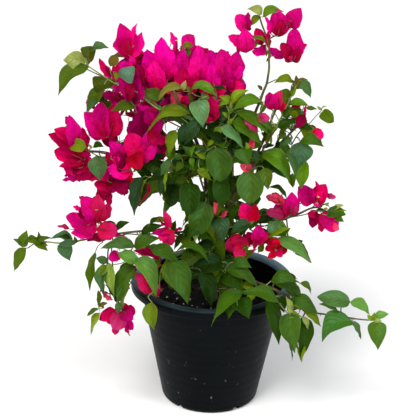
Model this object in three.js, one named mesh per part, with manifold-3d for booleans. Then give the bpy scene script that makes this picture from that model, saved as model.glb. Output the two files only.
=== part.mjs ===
// Bougainvillea bush in its round black nursery pot.
// Millimetres, +Z up. The origin is the middle of the pot's flat underside,
// +X is to the right and -Y is towards the viewer of the front.
//
// The plant: one short trunk with a root flare, tapering stems and boughs, and
// closed uneven masses of leaves ("foliage_...") and of bracts ("bloom_...").
// A bough ends at the face of the mass that it grows into; other masses are cut
// round it.

import * as THREE from 'three';
import { mergeVertices } from 'three/addons/utils/BufferGeometryUtils.js';
import Module from 'manifold-3d';

const wasm = await Module();
wasm.setup();

// ---------------------------------------------------------------- sizes
const CLEARANCE = 0.35;            // gap kept between pieces that touch

const POT_HEIGHT = 194;            // underside to top of the rolled lip
const POT_RIM_RADIUS = 125;        // outside of the lip: a 250 mm pot
const POT_FOOT_RADIUS = 68.8;      // flat ring that the pot stands on
const POT_WALL_FOOT_RADIUS = 75.5; // wall just above the rounded foot corner
const POT_WALL_TOP_RADIUS = 110;   // wall under the lip
const POT_WALL = 2.3;              // wall thickness
const POT_FLOOR = 4;               // floor thickness
const LIP_DEPTH = 13;              // height of the turned-down lip
const LIP_THICK = 2.4;
const POT_SEGMENTS = 32;
const DRAIN_SLOTS = 5;             // slots through the rounded foot corner
const DRAIN_WIDTH = 11;
const DRAIN_HEIGHT = 7;
const DRAIN_FIRST_DEG = -56;       // one slot shows a little right of the front

const SOIL_TOP = 157;              // level of the potting mix at the trunk
const SOIL_EDGE_DROP = 3.5;        // it lies lower along the wall

const TRUNK_FLARE_RADIUS = 14;
const TRUNK_RADIUS = 8.2;
const TRUNK_FORK_RADIUS = 6.8;
const TRUNK_FORK = [3, -3, 238];

// ---------------------------------------------------------------- limbs
// from, via, to: the line of the limb. r0 to r1: its taper.
// into: the mass at whose face it ends; out: the mass that it grows out of.
const LIMBS = [
  { name: 'stem_left', from: [1, -3, 232], via: [[-11, -5, 328], [-19, -9, 392]], to: [-50, -22, 462], r0: 4.6, r1: 2.2, into: 'foliage_upper_left' },
  { name: 'stem_right', from: [4, -2, 230], via: [[24, 0, 322], [56, -5, 385]], to: [86, -5, 466], r0: 4.8, r1: 2, into: 'bloom_right_shoulder' },
  { name: 'stem_whip_lower', from: [16, -1, 292], via: [[24, 8, 352]], to: [34, 12, 440], r0: 3.2, r1: 2.2, into: 'foliage_upper_centre' },
  { name: 'stem_whip_upper', from: [57, 18, 455], via: [[73, 20, 505], [73, 20, 552]], to: [53, 20, 612], r0: 2.2, r1: 1.3, out: 'foliage_upper_centre' },
  { name: 'bough_arching_left', from: [-66, -26, 462], via: [[-112, -33, 492]], to: [-186, -42, 529], r0: 2.2, r1: 1.4, out: 'foliage_upper_left', into: 'foliage_top_left_shoot' },
  { name: 'bough_left', from: [-18, -8, 372], via: [[-62, 14, 384]], to: [-116, 0, 396], r0: 3, r1: 2, into: 'bloom_left_middle' },
  { name: 'bough_far_left', from: [-150, -8, 392], via: [[-172, -12, 396]], to: [-206, -18, 400], r0: 2.2, r1: 1.5, out: 'bloom_left_middle', into: 'bloom_far_left' },
  { name: 'bough_top_left', from: [-140, 14, 488], via: [[-140, 22, 512]], to: [-133, 28, 544], r0: 2.2, r1: 1.6, out: 'bloom_left_upper', into: 'bloom_top_left' },
  { name: 'bough_right_shoulder', from: [60, -4, 392], via: [[84, 2, 404]], to: [116, 14, 432], r0: 2.6, r1: 1.9, into: 'foliage_right_upper' },
  { name: 'bough_low_left', from: [0, -4, 214], via: [[-52, -40, 281], [-122, -59, 290]], to: [-226, -60, 268], r0: 3.6, r1: 1.6, into: 'foliage_left_shoot' },
  { name: 'bough_low_left_hanging', from: [-128, -60, 289], via: [[-152, -68, 272]], to: [-154, -86, 240], r0: 2.2, r1: 1.6, into: 'foliage_low_left_hanging' },
  { name: 'bough_middle_right', from: [3, -2, 222], via: [[44, 2, 282], [98, 2, 291]], to: [150, 0, 314], r0: 3.4, r1: 1.6, into: 'bloom_right_middle' },
  { name: 'bough_low_right', from: [3, -4, 198], via: [[44, -42, 214], [100, -74, 206], [146, -80, 180]], to: [200, -80, 172], r0: 3.6, r1: 1.6, into: 'foliage_right_shoot' },
  { name: 'bough_front_left', from: [0, -3, 192], via: [[-24, -48, 216]], to: [-54, -96, 246], r0: 3.2, r1: 2, into: 'foliage_low_left_inner' },
  { name: 'bough_back', from: [2, 0, 232], via: [[2, 40, 290]], to: [-4, 96, 340], r0: 4, r1: 2.6, into: 'foliage_back_centre' },
];

// ---------------------------------------------------------------- masses
// Middle, half sizes across, front to back and up, lean in the front view
// (degrees, clockwise), and the seed of its uneven outline.
const MASSES = [
  { name: 'bloom_top_left', at: [-131, 30, 557], half: [22, 18, 29], lean: 0, seed: 3, fine: 1 },
  { name: 'bloom_top_centre_left', at: [-80, 85, 508], half: [46, 34, 42], lean: 0, seed: 5, fine: 3 },
  { name: 'bloom_top_centre_right', at: [2, 80, 505], half: [41, 34, 37], lean: 0, seed: 8, fine: 3 },
  { name: 'bloom_left_upper', at: [-145, 15, 482], half: [29, 24, 24], lean: 25, seed: 13, fine: 1 },
  { name: 'bloom_left_pair', at: [-166, -10, 447], half: [31, 20, 29], lean: 10, seed: 21, fine: 2 },
  { name: 'bloom_left_inner', at: [-105, 20, 440], half: [32, 30, 31], lean: 0, seed: 34, fine: 1 },
  { name: 'bloom_left_middle', at: [-132, -8, 385], half: [38, 28, 52], lean: 14, seed: 55, fine: 3 },
  { name: 'bloom_far_left', at: [-216, -20, 402], half: [27, 22, 50], lean: -14, seed: 37, fine: 2 },
  { name: 'bloom_low_left', at: [-187, -50, 310], half: [34, 26, 43], lean: 42, seed: 7, fine: 2 },
  { name: 'foliage_top_left_shoot', at: [-192, -40, 522], half: [30, 15, 50], lean: 38, seed: 11, fine: 2 },
  { name: 'foliage_upper_left', at: [-54, -35, 476], half: [44, 28, 28], lean: 15, seed: 18, fine: 2 },
  { name: 'foliage_upper_centre', at: [12, 2, 462], half: [50, 44, 30], lean: 0, seed: 29, fine: 3 },
  { name: 'foliage_centre', at: [14, -52, 394], half: [55, 38, 53], lean: 0, seed: 47, fine: 3 },
  { name: 'foliage_centre_left', at: [-60, -38, 374], half: [35, 36, 52], lean: 12, seed: 76, fine: 3 },
  { name: 'foliage_lower_centre', at: [-33, -40, 312], half: [44, 40, 31], lean: 0, seed: 2, fine: 1 },
  { name: 'bloom_whip_left', at: [40, 20, 572], half: [27, 18, 30], lean: 0, seed: 6, fine: 2 },
  { name: 'bloom_whip_right', at: [99, 20, 578], half: [30, 19, 39], lean: 0, seed: 9, fine: 2 },
  { name: 'foliage_right_shoulder', at: [109, 13, 497], half: [33, 18, 20], lean: 0, seed: 15, fine: 1 },
  { name: 'bloom_right_shoulder', at: [85, -3, 471], half: [23, 18, 18], lean: 0, seed: 24, fine: 1 },
  { name: 'foliage_right_upper', at: [124, 18, 443], half: [43, 26, 34], lean: -15, seed: 39, fine: 2 },
  { name: 'foliage_right_inner', at: [102, -20, 396], half: [38, 30, 39], lean: 20, seed: 63, fine: 2 },
  { name: 'bloom_right_inner', at: [99, 0, 322], half: [33, 22, 24], lean: 0, seed: 102, fine: 1 },
  { name: 'bloom_right_middle', at: [163, 0, 314], half: [37, 18, 37], lean: 20, seed: 22, fine: 2 },
  { name: 'foliage_right_lower', at: [113, -22, 270], half: [30, 26, 40], lean: -38, seed: 19, fine: 1 },
  { name: 'foliage_centre_low_right', at: [54, -45, 289], half: [41, 32, 38], lean: 0, seed: 31, fine: 1 },
  { name: 'foliage_low_left_upper', at: [-122, -98, 281], half: [42, 23, 24], lean: 10, seed: 50, fine: 1 },
  { name: 'foliage_low_left_inner', at: [-61, -108, 257], half: [34, 24, 44], lean: 0, seed: 81, fine: 2 },
  { name: 'foliage_low_left_hanging', at: [-147, -90, 224], half: [34, 18, 42], lean: 0, seed: 16, fine: 2 },
  { name: 'bloom_low_left_hanging', at: [-150, -87, 163], half: [35, 17, 25], lean: 0, seed: 25, fine: 2 },
  { name: 'foliage_left_shoot', at: [-250, -60, 264], half: [50, 14, 23], lean: -6, seed: 43, fine: 2 },
  { name: 'foliage_over_soil', at: [4, -64, 249], half: [42, 32, 31], lean: 0, seed: 66, fine: 2 },
  { name: 'foliage_over_rim', at: [24, -119, 226], half: [38, 32, 24], lean: -10, seed: 107, fine: 1 },
  { name: 'foliage_low_right_upper', at: [90, -80, 230], half: [53, 26, 20], lean: 15, seed: 173, fine: 2 },
  { name: 'foliage_low_right_hanging', at: [126, -101, 161], half: [32, 19, 49], lean: 0, seed: 10, fine: 2 },
  { name: 'foliage_right_shoot', at: [210, -80, 173], half: [57, 15, 34], lean: 12, seed: 17, fine: 2 },
  { name: 'foliage_back_upper_left', at: [-70, 104, 441], half: [54, 38, 40], lean: 0, seed: 27, fine: 1 },
  { name: 'foliage_back_upper_right', at: [31, 102, 427], half: [54, 40, 44], lean: 0, seed: 44, fine: 2 },
  { name: 'foliage_back_centre', at: [-5, 98, 352], half: [67, 44, 40], lean: 0, seed: 71, fine: 1 },
  { name: 'foliage_back_left', at: [-128, 82, 395], half: [42, 36, 42], lean: 0, seed: 115, fine: 1 },
  { name: 'foliage_back_right', at: [114, 72, 414], half: [42, 36, 42], lean: 0, seed: 186, fine: 1 },
  { name: 'foliage_back_low', at: [13, 90, 284], half: [62, 40, 36], lean: 0, seed: 14, fine: 1 },
];

// ---------------------------------------------------------------- helpers
function signedVolume(pos, tri) {
  let v = 0;
  const p = (k) => new THREE.Vector3(pos[3 * k], pos[3 * k + 1], pos[3 * k + 2]);
  for (let i = 0; i < tri.length; i += 3) {
    v += p(tri[i]).dot(p(tri[i + 1]).cross(p(tri[i + 2])));
  }
  return v / 6;
}

// A closed geometry, with its shared vertices merged and its faces outward,
// as a solid that can be joined and cut.
function solidOf(geometry) {
  const g = geometry.clone();
  g.deleteAttribute('normal');
  g.deleteAttribute('uv');
  const m = mergeVertices(g, 1e-3);
  const pos = Float32Array.from(m.attributes.position.array);
  let tri = Array.from(m.index.array);
  const kept = [];
  for (let i = 0; i < tri.length; i += 3) {
    const [a, b, c] = [tri[i], tri[i + 1], tri[i + 2]];
    if (a !== b && b !== c && c !== a) kept.push(a, b, c);
  }
  tri = kept;
  if (signedVolume(pos, tri) < 0) {
    for (let i = 0; i < tri.length; i += 3) [tri[i + 1], tri[i + 2]] = [tri[i + 2], tri[i + 1]];
  }
  return new wasm.Manifold(new wasm.Mesh({
    numProp: 3, vertProperties: pos, triVerts: Uint32Array.from(tri),
  }));
}

// The piece of a cut solid that holds most of its volume.
function largestPart(solid) {
  const parts = solid.decompose();
  let best = parts[0];
  let most = -1;
  for (const part of parts) {
    const mesh = part.getMesh();
    const v = signedVolume(mesh.vertProperties, mesh.triVerts);
    if (v > most) { most = v; best = part; }
  }
  return best;
}

function geometryOf(solid) {
  const mesh = solid.getMesh();
  const g = new THREE.BufferGeometry();
  g.setAttribute('position', new THREE.BufferAttribute(Float32Array.from(mesh.vertProperties), 3));
  g.setIndex(Array.from(mesh.triVerts));
  g.computeVertexNormals();
  return g;
}

// A profile of [radius, height] pairs turned round the upright axis.
function turned(profile, segments) {
  const points = profile.map(([r, z]) => new THREE.Vector2(r, z));
  return new THREE.LatheGeometry(points, segments).rotateX(Math.PI / 2);
}

// A closed tapering limb along a smooth curve through its named points.
// swell(t) gives the radius at t = 0..1 along it.
function limbGeometry(points, swell, sides, stepLength) {
  const curve = new THREE.CatmullRomCurve3(points.map((p) => new THREE.Vector3(...p)), false, 'centripetal');
  const steps = Math.max(4, Math.round(curve.getLength() / stepLength));
  const frames = curve.computeFrenetFrames(steps, false);
  const pos = [];
  const idx = [];
  for (let i = 0; i <= steps; i++) {
    const c = curve.getPointAt(i / steps);
    const r = swell(i / steps);
    for (let k = 0; k < sides; k++) {
      const a = (2 * Math.PI * k) / sides;
      const v = c.clone()
        .addScaledVector(frames.normals[i], r * Math.cos(a))
        .addScaledVector(frames.binormals[i], r * Math.sin(a));
      pos.push(v.x, v.y, v.z);
    }
  }
  const start = pos.length / 3;
  const c0 = curve.getPointAt(0);
  const c1 = curve.getPointAt(1);
  pos.push(c0.x, c0.y, c0.z, c1.x, c1.y, c1.z);
  for (let i = 0; i < steps; i++) {
    for (let k = 0; k < sides; k++) {
      const a = i * sides + k;
      const b = i * sides + ((k + 1) % sides);
      idx.push(a, b, b + sides, a, b + sides, a + sides);
    }
  }
  for (let k = 0; k < sides; k++) {
    const n = (k + 1) % sides;
    idx.push(start, n, k, start + 1, steps * sides + k, steps * sides + n);
  }
  const g = new THREE.BufferGeometry();
  g.setAttribute('position', new THREE.Float32BufferAttribute(pos, 3));
  g.setIndex(idx);
  return g;
}

// A seeded run of numbers from 0 to 1.
function seeded(seed) {
  let s = (seed * 2654435761) >>> 0;
  return () => {
    s = (Math.imul(s ^ (s >>> 15), 2246822519) + 3266489917) >>> 0;
    return ((s ^ (s >>> 13)) >>> 0) / 4294967296;
  };
}

// An uneven closed mass: a ball of three half sizes, with soft swellings and
// hollows where its sprays stand out or fall back, leaned in the front view.
function massGeometry({ at, half, lean, seed, fine }, grow = 0) {
  const rnd = seeded(seed + 11);
  const waves = [];
  for (let i = 0; i < 6; i++) {
    const dir = new THREE.Vector3(rnd() - 0.5, rnd() - 0.5, rnd() - 0.5).normalize();
    waves.push({ dir, count: 2.2 + 3.4 * rnd(), phase: 6.28 * rnd(), size: 0.035 + 0.055 * rnd() });
  }
  const g = fine === 2 ? new THREE.OctahedronGeometry(1, 3) : new THREE.IcosahedronGeometry(1, fine === 1 ? 1 : 2);
  g.rotateX(0.4 + seed).rotateZ(seed * 1.7);
  const p = g.attributes.position;
  const v = new THREE.Vector3();
  for (let i = 0; i < p.count; i++) {
    v.fromBufferAttribute(p, i).normalize();
    let f = 1;
    for (const w of waves) f += w.size * Math.sin(w.count * v.dot(w.dir) * 2 + w.phase);
    const out = v.clone();
    v.multiplyScalar(f);
    v.set(v.x * half[0], v.y * half[1], v.z * half[2]).addScaledVector(out, grow);
    p.setXYZ(i, v.x, v.y, v.z);
  }
  g.rotateY((lean * Math.PI) / 180);
  g.translate(...at);
  return g;
}

// How far a mass reaches from its middle along a direction.
function reach(m, dir) {
  const d = dir.clone().applyAxisAngle(new THREE.Vector3(0, 1, 0), (-m.lean * Math.PI) / 180);
  return 1 / Math.hypot(d.x / m.half[0], d.y / m.half[1], d.z / m.half[2]);
}

function mayTouch(a, b) {
  const across = (m) => Math.max(...m.half) * 1.2;
  return new THREE.Vector3(...a.at).distanceTo(new THREE.Vector3(...b.at)) < across(a) + across(b);
}

// Two neighbouring masses part at a plane across the line between their
// middles, half way through the depth that they would share. This is the space
// on the other one's side of that plane, for mass m to be cut by.
function sideOf(m, other) {
  const a = new THREE.Vector3(...m.at);
  const b = new THREE.Vector3(...other.at);
  const dir = b.clone().sub(a);
  const gap = dir.length();
  dir.normalize();
  const plane = (reach(m, dir) + gap - reach(other, dir)) / 2 - CLEARANCE / 2;
  const box = new THREE.BoxGeometry(400, 400, 400).translate(0, 0, 200);
  box.applyQuaternion(new THREE.Quaternion().setFromUnitVectors(new THREE.Vector3(0, 0, 1), dir));
  box.translate(a.x + dir.x * plane, a.y + dir.y * plane, a.z + dir.z * plane);
  return solidOf(box);
}

const material = (name, color, roughness) => new THREE.MeshStandardMaterial({ name, color, roughness, metalness: 0 });
const group = new THREE.Group();
function place(name, geometry, mat) {
  const mesh = new THREE.Mesh(geometry, mat);
  mesh.name = name;
  group.add(mesh);
}

// ---------------------------------------------------------------- pot
const wallRadius = (z) => POT_WALL_FOOT_RADIUS
  + ((POT_WALL_TOP_RADIUS - POT_WALL_FOOT_RADIUS) * (z - 6)) / (POT_HEIGHT - LIP_DEPTH - 6);
const lipZ = POT_HEIGHT - LIP_DEPTH;
const potProfile = [
  [0, 0],
  [POT_FOOT_RADIUS, 0],
  [POT_FOOT_RADIUS + 4.4, 1.8],
  [POT_WALL_FOOT_RADIUS, 6],
  [wallRadius(lipZ), lipZ],
  [wallRadius(lipZ) + 0.6, POT_HEIGHT - 2 * LIP_THICK],
  [POT_RIM_RADIUS - LIP_THICK, POT_HEIGHT - 2 * LIP_THICK],
  [POT_RIM_RADIUS - LIP_THICK, lipZ],
  [POT_RIM_RADIUS, lipZ],
  [POT_RIM_RADIUS, POT_HEIGHT - 4],
  [POT_RIM_RADIUS - 3.4, POT_HEIGHT],
  [POT_WALL_TOP_RADIUS + 3, POT_HEIGHT],
  [POT_WALL_TOP_RADIUS - 1.6, POT_HEIGHT - 3.6],
  [wallRadius(lipZ) - POT_WALL, lipZ],
  [wallRadius(8) - POT_WALL, 8],
  [wallRadius(8) - POT_WALL - 3.5, POT_FLOOR],
  [0, POT_FLOOR],
];
let pot = solidOf(turned(potProfile, POT_SEGMENTS));
for (let i = 0; i < DRAIN_SLOTS; i++) {
  const slot = new THREE.BoxGeometry(18, DRAIN_WIDTH, DRAIN_HEIGHT + 10);
  slot.translate(POT_WALL_FOOT_RADIUS + 0.5, 0, DRAIN_HEIGHT - (DRAIN_HEIGHT + 10) / 2);
  slot.rotateZ(((DRAIN_FIRST_DEG + (360 / DRAIN_SLOTS) * i) * Math.PI) / 180);
  pot = pot.subtract(solidOf(slot));
}
place('pot', geometryOf(pot), material('black_plastic', 0x15181b, 0.45));

// Everything inside the pot's outline, for cutting what hangs past it.
const potEnvelope = solidOf(turned([
  [0, -1],
  [POT_WALL_FOOT_RADIUS + 1, -1],
  [POT_WALL_FOOT_RADIUS + 1, 6],
  [POT_WALL_TOP_RADIUS + 1, lipZ - 1],
  [POT_RIM_RADIUS + 0.6, lipZ - 1],
  [POT_RIM_RADIUS + 0.6, POT_HEIGHT + 0.6],
  [0, POT_HEIGHT + 0.6],
], POT_SEGMENTS));

// ---------------------------------------------------------------- soil
const soilEdge = SOIL_TOP - SOIL_EDGE_DROP;
const soilRadius = (z) => wallRadius(z) - POT_WALL - CLEARANCE - 0.3;
const soilProfile = [
  [0, POT_FLOOR + CLEARANCE],
  [soilRadius(8) - 3.6, POT_FLOOR + CLEARANCE],
  [soilRadius(9), 9],
  [soilRadius(soilEdge), soilEdge],
  [soilRadius(soilEdge) - 16, SOIL_TOP - 1.2],
  [TRUNK_FLARE_RADIUS + 12, SOIL_TOP],
  [0, SOIL_TOP],
];
place('soil', geometryOf(solidOf(turned(soilProfile, 24))), material('potting_mix', 0x2b2420, 0.95));

// ---------------------------------------------------------------- trunk and limbs
// The root flare swells the lowest third, with a flat cut at soil level.
const trunkLine = [[0, 0, SOIL_TOP - 8], [-1, 0, 190], TRUNK_FORK];
const trunkSwell = (t) => {
  const plain = TRUNK_RADIUS + (TRUNK_FORK_RADIUS - TRUNK_RADIUS) * t;
  const flare = (TRUNK_FLARE_RADIUS - TRUNK_RADIUS) * Math.exp(-Math.pow(t / 0.2, 1.5));
  return plain + flare;
};
const soilCutter = new THREE.BoxGeometry(200, 200, 60).translate(0, 0, SOIL_TOP + CLEARANCE - 30);
const trunkSolid = (grow) => solidOf(limbGeometry(trunkLine, (t) => trunkSwell(t) + grow, 10, 10));
const trunk = trunkSolid(0).subtract(solidOf(soilCutter));
place('trunk', geometryOf(trunk), material('bark', 0x6d5a44, 0.85));

const limbSolid = (l, grow) => solidOf(limbGeometry(
  [l.from, ...l.via, l.to],
  (t) => l.r0 + (l.r1 - l.r0) * t + grow,
  l.r0 > 4.5 ? 6 : 5,
  32,
));
const limbCutters = [trunkSolid(CLEARANCE)];
for (const l of LIMBS) {
  let s = limbSolid(l, 0);
  for (const cutter of limbCutters) s = s.subtract(cutter);
  for (const end of [l.into, l.out]) {
    if (!end) continue;
    const m = MASSES.find((x) => x.name === end);
    s = s.subtract(solidOf(massGeometry(m, CLEARANCE)));
  }
  s = largestPart(s);
  limbCutters.push(limbSolid(l, CLEARANCE));
  place(l.name, geometryOf(s), material(l.r0 > 3.5 ? 'bark' : 'green_bark', l.r0 > 3.5 ? 0x77634a : 0x6f7a3c, 0.8));
}

// ---------------------------------------------------------------- foliage and bracts
const leafGreens = [0x3f7a22, 0x4c8a28, 0x356b20, 0x5a9430];
const bractPinks = [0xe0128a, 0xd2107c, 0xea1c98, 0xc60f5e];
MASSES.forEach((m, i) => {
  let s = solidOf(massGeometry(m));
  s = s.subtract(potEnvelope);
  for (const cutter of limbCutters.slice(0, 1)) s = s.subtract(cutter);
  LIMBS.forEach((l, k) => {
    if (l.into !== m.name && l.out !== m.name) s = s.subtract(limbCutters[k + 1]);
  });
  for (const other of MASSES) {
    if (other !== m && mayTouch(m, other)) s = s.subtract(sideOf(m, other));
  }
  s = largestPart(s);
  const bloom = m.name.startsWith('bloom');
  const color = bloom ? bractPinks[i % 4] : leafGreens[i % 4];
  place(m.name, geometryOf(s), material(bloom ? 'bracts' : 'leaves', color, bloom ? 0.6 : 0.5));
});

export default group;
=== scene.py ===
"""Bougainvillea bush in its round black nursery pot.

Everything is in metres, in the frame of the CAD model: the origin is the middle
of the pot's flat underside, +X to the right, -Y towards the viewer, +Z up.

The limbs follow the same lines as the CAD limbs.  From them a seeded rule grows
boughs, twigs and petioles.  The leaves and bracts of the front are set out in
small tables, by where each one starts and ends in the camera's view and how
deep it lies; a seeded branching rule fills the crown behind them and all round.
"""
import bpy
import math
import numpy as np
from mathutils import Matrix, Vector


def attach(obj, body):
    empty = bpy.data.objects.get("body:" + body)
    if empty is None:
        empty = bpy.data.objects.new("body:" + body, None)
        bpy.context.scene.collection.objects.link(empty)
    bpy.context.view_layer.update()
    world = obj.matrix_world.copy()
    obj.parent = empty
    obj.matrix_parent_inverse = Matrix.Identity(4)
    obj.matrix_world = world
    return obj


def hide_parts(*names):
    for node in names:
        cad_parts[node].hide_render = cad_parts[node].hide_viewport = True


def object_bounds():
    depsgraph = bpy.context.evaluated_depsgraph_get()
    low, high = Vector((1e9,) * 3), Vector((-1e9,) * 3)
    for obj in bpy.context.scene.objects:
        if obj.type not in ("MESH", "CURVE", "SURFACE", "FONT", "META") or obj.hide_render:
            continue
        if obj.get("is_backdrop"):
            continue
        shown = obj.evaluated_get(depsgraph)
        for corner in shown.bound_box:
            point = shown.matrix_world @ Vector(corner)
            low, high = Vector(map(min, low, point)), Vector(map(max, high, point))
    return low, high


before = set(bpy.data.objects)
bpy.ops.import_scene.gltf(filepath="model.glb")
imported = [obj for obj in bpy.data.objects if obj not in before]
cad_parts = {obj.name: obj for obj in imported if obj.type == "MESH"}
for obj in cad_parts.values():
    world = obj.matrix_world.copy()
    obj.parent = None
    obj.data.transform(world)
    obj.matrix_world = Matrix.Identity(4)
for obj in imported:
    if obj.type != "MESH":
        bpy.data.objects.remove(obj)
CAD_LO, CAD_HI = (list(v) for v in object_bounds())
SEED = 4127
rng = np.random.default_rng(SEED)
MM = 0.001
UP = np.array((0.0, 0.0, 1.0))

scene = bpy.context.scene
scene.view_settings.view_transform = "Standard"
scene.view_settings.look = "None"

# ------------------------------------------------------------------ camera
CAM_LOC = np.array((-0.0095, -1.75, 0.9456))
CAM_PITCH, CAM_ROLL, CAM_FOCAL, FRAME_PX = 0.3488, 0.0251, 1233.66, 416
_cp, _sp = math.cos(CAM_PITCH), math.sin(CAM_PITCH)
CAM_F = np.array((0.0, _cp, -_sp))
_r, _u = np.array((1.0, 0.0, 0.0)), np.array((0.0, _sp, _cp))
CAM_R = math.cos(CAM_ROLL) * _r + math.sin(CAM_ROLL) * _u
CAM_U = -math.sin(CAM_ROLL) * _r + math.cos(CAM_ROLL) * _u


def make_camera():
    data = bpy.data.cameras.new("camera")
    data.sensor_width = 36
    data.lens = 36 * CAM_FOCAL / FRAME_PX
    data.clip_start, data.clip_end = 0.05, 30
    obj = bpy.data.objects.new("camera", data)
    m = Matrix.Identity(4)
    for i in range(3):
        m[i][0], m[i][1], m[i][2], m[i][3] = CAM_R[i], CAM_U[i], -CAM_F[i], CAM_LOC[i]
    obj.matrix_world = m
    scene.collection.objects.link(obj)
    scene.camera = obj


make_camera()


def at(u, v, y):
    """The point seen at u, v of the 416 square view, at depth y in mm."""
    d = CAM_F + (u - 208) / CAM_FOCAL * CAM_R - (v - 208) / CAM_FOCAL * CAM_U
    return CAM_LOC + (y * MM - CAM_LOC[1]) / d[1] * d


def seen(p):
    """Where points (n, 3) show in the view."""
    v = np.atleast_2d(p) - CAM_LOC
    w = v @ CAM_F
    return np.stack((208 + CAM_FOCAL * (v @ CAM_R) / w, 208 - CAM_FOCAL * (v @ CAM_U) / w), 1)


def unit(v):
    return v / (np.linalg.norm(v) + 1e-12)


def turn(v, axis, angle):
    c, s = math.cos(angle), math.sin(angle)
    return v * c + np.cross(axis, v) * s + axis * (axis @ v) * (1 - c)


# ------------------------------------------------------------------ meshes
class Store:
    """Collects many small pieces into one mesh with material slots and a UV map."""

    def __init__(self):
        self.v, self.uv, self.q, self.t, self.qm, self.tm = [], [], [], [], [], []
        self.n = 0

    def add(self, verts, quads, slot, uv=None, tris=None):
        self.v.append(verts)
        self.uv.append(np.zeros((len(verts), 2)) if uv is None else uv)
        if quads is not None and len(quads):
            self.q.append(np.asarray(quads) + self.n)
            self.qm.append(np.full(len(quads), slot))
        if tris is not None and len(tris):
            self.t.append(np.asarray(tris) + self.n)
            self.tm.append(np.full(len(tris), slot))
        self.n += len(verts)

    def faces(self):
        return 2 * sum(len(q) for q in self.q) + sum(len(t) for t in self.t)

    def build(self, name, materials, smooth=True):
        v = np.concatenate(self.v)
        uv = np.concatenate(self.uv)
        q = np.concatenate(self.q) if self.q else np.zeros((0, 4), int)
        t = np.concatenate(self.t) if self.t else np.zeros((0, 3), int)
        mesh = bpy.data.meshes.new(name)
        mesh.vertices.add(len(v))
        mesh.vertices.foreach_set("co", v.astype(np.float32).ravel())
        loops = np.concatenate((q.ravel(), t.ravel())).astype(np.int32)
        mesh.loops.add(len(loops))
        mesh.loops.foreach_set("vertex_index", loops)
        starts = np.concatenate((np.arange(len(q)) * 4, 4 * len(q) + np.arange(len(t)) * 3)).astype(np.int32)
        mesh.polygons.add(len(starts))
        mesh.polygons.foreach_set("loop_start", starts)
        slots = np.concatenate([np.zeros(0, int), *self.qm, *self.tm]).astype(np.int32)
        used = sorted(set(slots.tolist()))
        remap = np.zeros(max(used) + 1, np.int32)
        for i, s in enumerate(used):
            remap[s] = i
            mesh.materials.append(materials[s])
        mesh.polygons.foreach_set("material_index", remap[slots])
        mesh.polygons.foreach_set("use_smooth", np.full(len(starts), smooth))
        layer = mesh.uv_layers.new(name="UVMap")
        layer.data.foreach_set("uv", uv[loops].astype(np.float32).ravel())
        mesh.update(calc_edges=True)
        mesh.validate()
        obj = bpy.data.objects.new(name, mesh)
        scene.collection.objects.link(obj)
        return obj


def line_through(points, step):
    """Centripetal curve through points (n, 3), sampled about every step."""
    p = np.asarray(points, float)
    if len(p) == 2:
        n = max(2, int(round(np.linalg.norm(p[1] - p[0]) / step)) + 1)
        return p[0] + np.linspace(0, 1, n)[:, None] * (p[1] - p[0])
    p = np.vstack((2 * p[0] - p[1], p, 2 * p[-1] - p[-2]))
    out = []
    for i in range(1, len(p) - 2):
        a, b, c, d = p[i - 1], p[i], p[i + 1], p[i + 2]
        t0 = 0.0
        t1 = t0 + np.linalg.norm(b - a) ** 0.5 + 1e-9
        t2 = t1 + np.linalg.norm(c - b) ** 0.5 + 1e-9
        t3 = t2 + np.linalg.norm(d - c) ** 0.5 + 1e-9
        n = max(2, int(round(np.linalg.norm(c - b) / step)))
        t = np.linspace(t1, t2, n, endpoint=False)[:, None]
        a1 = (t1 - t) / (t1 - t0) * a + (t - t0) / (t1 - t0) * b
        a2 = (t2 - t) / (t2 - t1) * b + (t - t1) / (t2 - t1) * c
        a3 = (t3 - t) / (t3 - t2) * c + (t - t2) / (t3 - t2) * d
        b1 = (t2 - t) / (t2 - t0) * a1 + (t - t0) / (t2 - t0) * a2
        b2 = (t3 - t) / (t3 - t1) * a2 + (t - t1) / (t3 - t1) * a3
        out.append((t2 - t) / (t2 - t1) * b1 + (t - t1) / (t2 - t1) * b2)
    out.append(p[-2][None])
    return np.vstack(out)


def frames_along(line):
    tan = np.gradient(line, axis=0)
    tan /= np.linalg.norm(tan, axis=1)[:, None] + 1e-12
    ref = np.array((0.0, 0.0, 1.0)) if abs(tan[0][2]) < 0.9 else np.array((1.0, 0.0, 0.0))
    a = unit(np.cross(tan[0], ref))
    side = [a]
    for i in range(1, len(line)):
        a = unit(a - tan[i] * (a @ tan[i]))
        side.append(a)
    side = np.array(side)
    return tan, side, np.cross(tan, side)


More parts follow.
